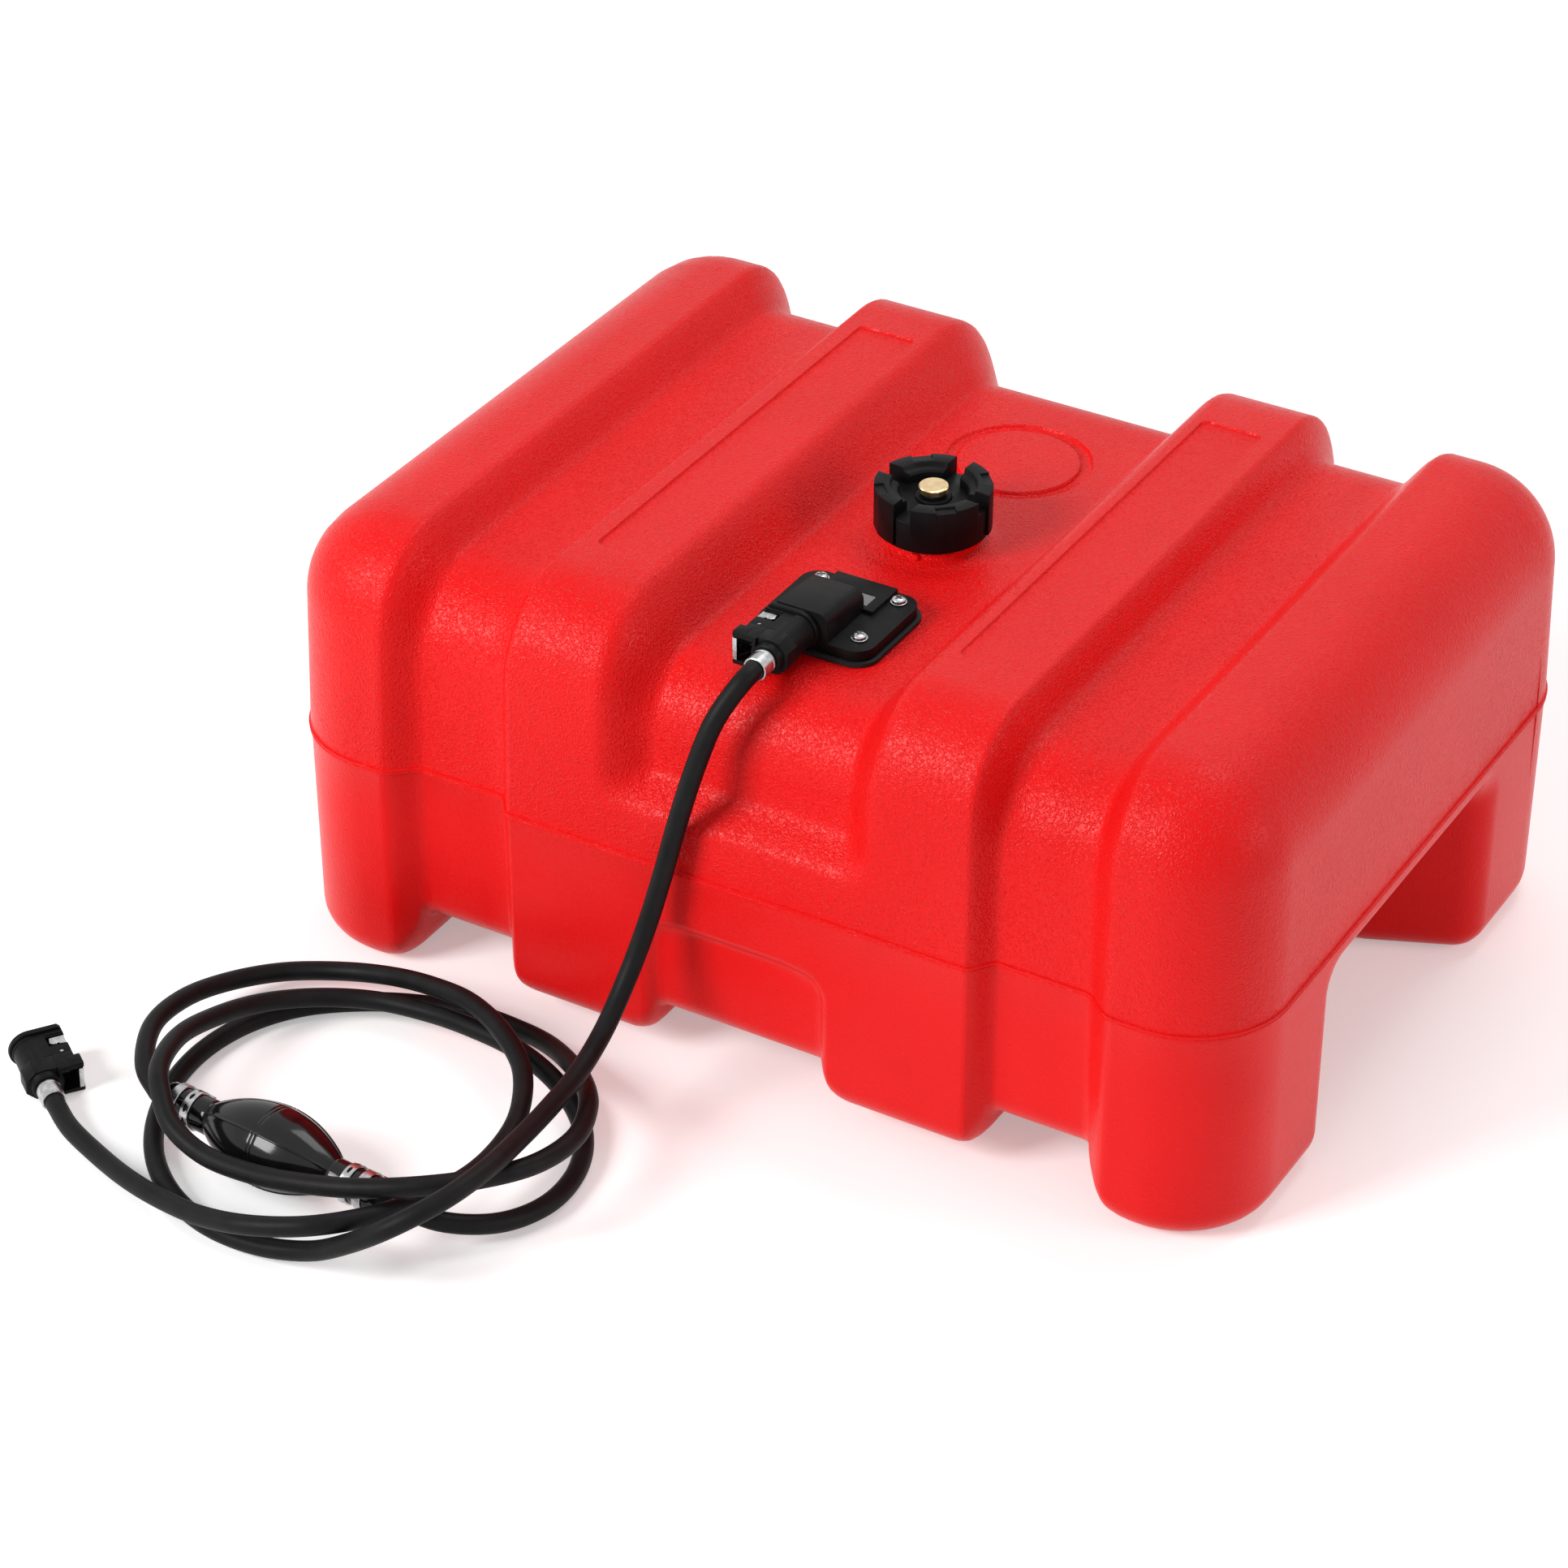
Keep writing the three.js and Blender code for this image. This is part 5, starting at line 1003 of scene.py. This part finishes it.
cut(connector,
    cut(block("latch_hollow", (-0.025, -0.04, -0.0075), (-0.01, -0.0035, 0.0075)),
        rod("kept_barrel", BARREL, -0.042, 0.001, "Y", sides=BARREL_SIDES)),
    cut(block("latch_window", (-0.022, -0.0166, -0.0145), (-0.0084, -0.0082, 0.0145)),
        rod("kept_barrel", BARREL, -0.0167, 0, "Y", sides=BARREL_SIDES)),
    block("latch_slot", (-0.02, -0.0128, -0.0075), (-0.006, -0.0078, 0.0075)),
    turned("mouth", [(0, -0.024), (0.0044, -0.024), (0.0044, -0.0008), (0.0052, 0.0001),
                     (0.0052, 0.002), (0, 0.002)], 48, "Y", closed=False),
    rod("passage", 0.0024, -0.054, 0, "Y", sides=24),
    rod("seal_seat", 0.0067, -0.0199, -0.0165, "Y", sides=48),
    rod("post_way", SMALL_BORE, -0.016, 0.002, "Y", (POST_X - OUTLET_X, 0, 0), 20),
    rod("pin_way", PIN_BORE, -0.0125, 0.0125, centre=PIN_PLACE, sides=20))
# The rib round the barrel, behind the rim
rib = turned("barrel_rib", [(0.0106, -0.0064), (0.0112, -0.006), (0.0112, -0.0042),
                            (0.0106, -0.0034)], BARREL_SIDES, "Y")
added(connector, cut(rib, block("rib_cut", (-0.03, -0.01, -0.02), (0, 0, 0.02))))
smooth(connector)

# The latch is one folded strip: a flared rear end, a tongue with a hole for the post, two
# lugs for its pin, and a tapered flange in each window of the case
STRIP_OUT, STRIP_IN = -0.0194, -0.0184
latch = along_z("latch_strip", [
    (STRIP_OUT, -0.0079), (STRIP_OUT, -0.0265), (-0.0226, -0.0345), (-0.0226, -0.0386),
    (-0.0199, -0.0386), (-0.0199, -0.0373), (-0.0214, -0.0373), (-0.0214, -0.0342),
    (-0.0182, -0.0261), (-0.0182, -0.0079)], -0.0071, 0.0071)
added(latch, block("tongue", (STRIP_OUT, -0.0112, -0.0065), (-0.0064, -0.0098, 0.0065)))
for low in (-0.0065, 0.0051):
    added(latch, block("lug", (STRIP_OUT, -0.0244, low), (-0.0122, -0.0196, low + 0.0014)))
for low, web_low, web_high in ((-0.0101, -0.0101, -0.0068), (0.0091, 0.0068, 0.0101)):
    folded = along_z("folded_flange", [
        (STRIP_OUT, -0.0158), (STRIP_IN, -0.0158), (-0.0112, -0.0148), (-0.0098, -0.0133),
        (-0.0106, -0.0092), (STRIP_OUT, -0.0092)], low, low + 0.001)
    cut(folded, rod("notch", 0.0011, low - 0.001, low + 0.002,
                    centre=(PIN_PLACE[0], -0.0156, 0), sides=20))
    added(folded, block("web", (STRIP_OUT, -0.0157, web_low), (STRIP_IN, -0.0093, web_high)))
    added(latch, folded)
cut(latch, rod("tongue_hole", 0.0031, -0.0132, -0.0078, "Y", (-0.0105, 0, 0), 24),
    rod("latch_pin_hole", PIN_BORE, -0.0065, 0.0065, centre=PIN_PLACE, sides=20))
smooth(softened(latch, 0.0003))

# Ferrules
# A short bright sleeve is pressed over the hose behind each connector, with one fine rolled
# line round it and turned-in ends.
ferrule = turned("crimped_ferrule", [
    (0.0063, -0.0523), (0.0068, -0.0523), (0.0073, -0.052), (0.0074, -0.0512),
    (0.0074, -0.0432), (0.0071, -0.0429), (0.0071, -0.0424), (0.0074, -0.0421),
    (0.0074, -0.0412), (0.0073, -0.0406), (0.0068, -0.0403), (0.0063, -0.0403)],
    BARREL_SIDES, "Y")
smooth(ferrule)

AT_TANK = at((OUTLET_X, OUTLET_FRONT - 0.0003, OUTLET_Z))
AT_ENGINE = (at((-0.3755, -0.4257, 0.0142), 54.7) @ Matrix.Rotation(radians(4.9), 4, "X")
             @ Matrix.Rotation(radians(180), 4, "Y"))
line_pieces = {"tank": [], "engine": []}
for end, matrix in (("tank", AT_TANK), ("engine", AT_ENGINE)):
    for source, kind, finish, slot, body, node in (
        (connector, "connector_moulding", black_moulding, "black_plastic", "hose_line",
         f"{end}_connector_body"),
        (latch, "latch_strip", plated_steel, "steel", f"{end}_latch", f"{end}_connector_latch"),
        (ferrule, "crimped_ferrule", plated_steel, "steel", "hose_line", f"{end}_ferrule"),
    ):
        line_pieces[end].append(
            dressed(copied(source, f"{end}_{kind}", matrix), finish, body, node))
for source in (connector, latch, ferrule):
    bpy.data.objects.remove(source)

# Primer bulb
# A black rubber squeeze bulb, moulded with four lengthwise seams and a band round its
# middle, and drawn in to a collar at each end, where the hose and a valve sit inside.
ON_BULB = at((-0.1836, -0.442, 0.0258), -4.8)
BULB_RADIUS, BULB_HALF, COLLAR_RADIUS, COLLAR_END = 0.0255, 0.046, 0.0108, 0.079
SEAM_PROUD, LINE_AT, LINE_DEEP, COLLAR_ROUND = 0.0007, 0.0013, 0.0005, 0.0008
MOUTH_RADIUS, MOUTH_DEEP = 0.0063, 0.012
SEAM_ANGLES = [radians(a) for a in (38, 128, 218, 308)]
bulb_angles = [seam + radians(d) for seam in SEAM_ANGLES
               for d in (-3, -1.8, -0.9, 0, 0.9, 1.8, 3, *range(9, 88, 6))]


def bulb_radius(x):
    """The outside of the bulb at x from its middle, without its seams."""
    if x >= BULB_HALF:
        return COLLAR_RADIUS
    share = x / BULB_HALF
    return BULB_RADIUS * (1 - 0.03 * share - 0.56 * share ** 2.15 + 0.012 * share ** 6)


half_bulb = [0, 0.0006, 0.0009, 0.0011, 0.0013, 0.0015, 0.0017, 0.002, 0.003, 0.0045,
             *(0.007 + 0.0025 * i for i in range(15)),
             0.044, 0.0455, 0.0465, 0.048, 0.054, 0.0615, 0.062, 0.0626, 0.0632, 0.0725,
             0.073, 0.0775, 0.0786, COLLAR_END]
bulb_stations = [-x for x in reversed(half_bulb[1:])] + half_bulb
bulb_points = []
for x in bulb_stations:
    out = abs(x)
    line = -LINE_DEEP * (1 - ease(abs(out - LINE_AT), 0.0001, 0.0005))
    end = COLLAR_ROUND * ease(out, 0.0775, COLLAR_END)
    for angle in bulb_angles:
        off = min(abs((angle - seam + pi) % (2 * pi) - pi) for seam in SEAM_ANGLES)
        ridge = SEAM_PROUD * (1 - ease(degrees(off), 0.5, 2.2)) * (1 - ease(out, 0.042, 0.048))
        radius = bulb_radius(out) - SEAM_PROUD * (out < BULB_HALF) + line + ridge - end
        bulb_points.append((x, radius * cos(angle), radius * sin(angle)))
ring_size = len(bulb_angles)
bulb_faces = ring_faces(len(bulb_stations), ring_size, False)
for ring, x in ((0, -COLLAR_END), (len(bulb_stations) - 1, COLLAR_END)):
    start = len(bulb_points)
    for deep in (0, MOUTH_DEEP):
        inside = x - copysign(deep, x)
        bulb_points += [(inside, MOUTH_RADIUS * cos(a), MOUTH_RADIUS * sin(a))
                        for a in bulb_angles]
    for i in range(ring_size):
        j = (i + 1) % ring_size
        bulb_faces.append((ring * ring_size + i, ring * ring_size + j, start + j, start + i))
        bulb_faces.append((start + i, start + j, start + ring_size + j, start + ring_size + i))
    bulb_faces.append(range(start + ring_size, start + 2 * ring_size))
bulb = new_piece("squeeze_bulb", bulb_points, bulb_faces)
face_outward()
bulb.data.transform(ON_BULB)
smooth(bulb, 40)
bulb_rubber = uneven("bulb_rubber", (70, 3, 0.3, 0.7),
                     [(0.0035, 0.0035, 0.004), (0.006, 0.006, 0.0065)],
                     (120, 3, 0.08, 0.09), (420, 2, 0.00002), specular_ior_level=0.32)
dressed(bulb, bulb_rubber, "hose_line", "primer_bulb")

# Hose clamps
# Two bright steel bands are pinched round each collar of the bulb. The one next to the
# bulb has oval slots in its band, the outer one is plain, and each has a pinched ear.
CLAMP_INNER, CLAMP_WALL, CLAMP_HALF = 0.0111, 0.0009, 0.003
CLAMP_OUTER = CLAMP_INNER + CLAMP_WALL
OVAL_HALF, OVAL_STRETCH, EAR_HALF, EAR_TAPER, EAR_GROOVE = 0.0011, 2.3, 0.0024, 0.62, 0.0008
clamps = {}
for kind, slotted in (("plain", False), ("slotted", True)):
    band = turned(f"{kind}_clamp", [
        (CLAMP_INNER, -CLAMP_HALF), (CLAMP_INNER + CLAMP_WALL * 0.7, -CLAMP_HALF),
        (CLAMP_OUTER, -CLAMP_HALF + 0.0003), (CLAMP_OUTER, CLAMP_HALF - 0.0003),
        (CLAMP_INNER + CLAMP_WALL * 0.7, CLAMP_HALF), (CLAMP_INNER, CLAMP_HALF)], 72, "X")
    if slotted:
        for angle in range(0, 360, 40):
            bare()
            bpy.ops.mesh.primitive_cylinder_add(vertices=20, radius=OVAL_HALF, depth=0.004)
            oval = bpy.context.object
            oval.data.transform(Matrix.Rotation(radians(angle + 10), 4, "X")
                                @ Matrix.Translation((0, 0, CLAMP_INNER))
                                @ Matrix.Diagonal((1, OVAL_STRETCH, 1, 1)))
            cut(band, oval)
    ear = block("ear", (-CLAMP_HALF, CLAMP_INNER + CLAMP_WALL / 2, -EAR_HALF),
                (CLAMP_HALF, CLAMP_OUTER + 0.003, EAR_HALF))
    for vertex in ear.data.vertices:
        if vertex.co.y > CLAMP_INNER + 0.002:
            vertex.co.z *= EAR_TAPER
    cut(softened(ear, 0.0007, 30, 3),
        rod("ear_groove", EAR_GROOVE, -0.004, 0.004, "X", (0, CLAMP_OUTER + 0.0032, 0), 20))
    clamps[kind] = smooth(added(band, ear))
for number, side, kind, from_end in ((1, 1, "plain", 0.009), (2, 1, "slotted", 0.02),
                                     (3, -1, "plain", 0.009), (4, -1, "slotted", 0.02)):
    place = ON_BULB @ at((side * (COLLAR_END - from_end), 0, 0))
    line_pieces["tank" if side > 0 else "engine"].append(
        dressed(copied(clamps[kind], f"bulb_clamp_{number}", place), plated_steel,
                "hose_line", f"hose_clamp_{number}"))
for source in clamps.values():
    bpy.data.objects.remove(source)
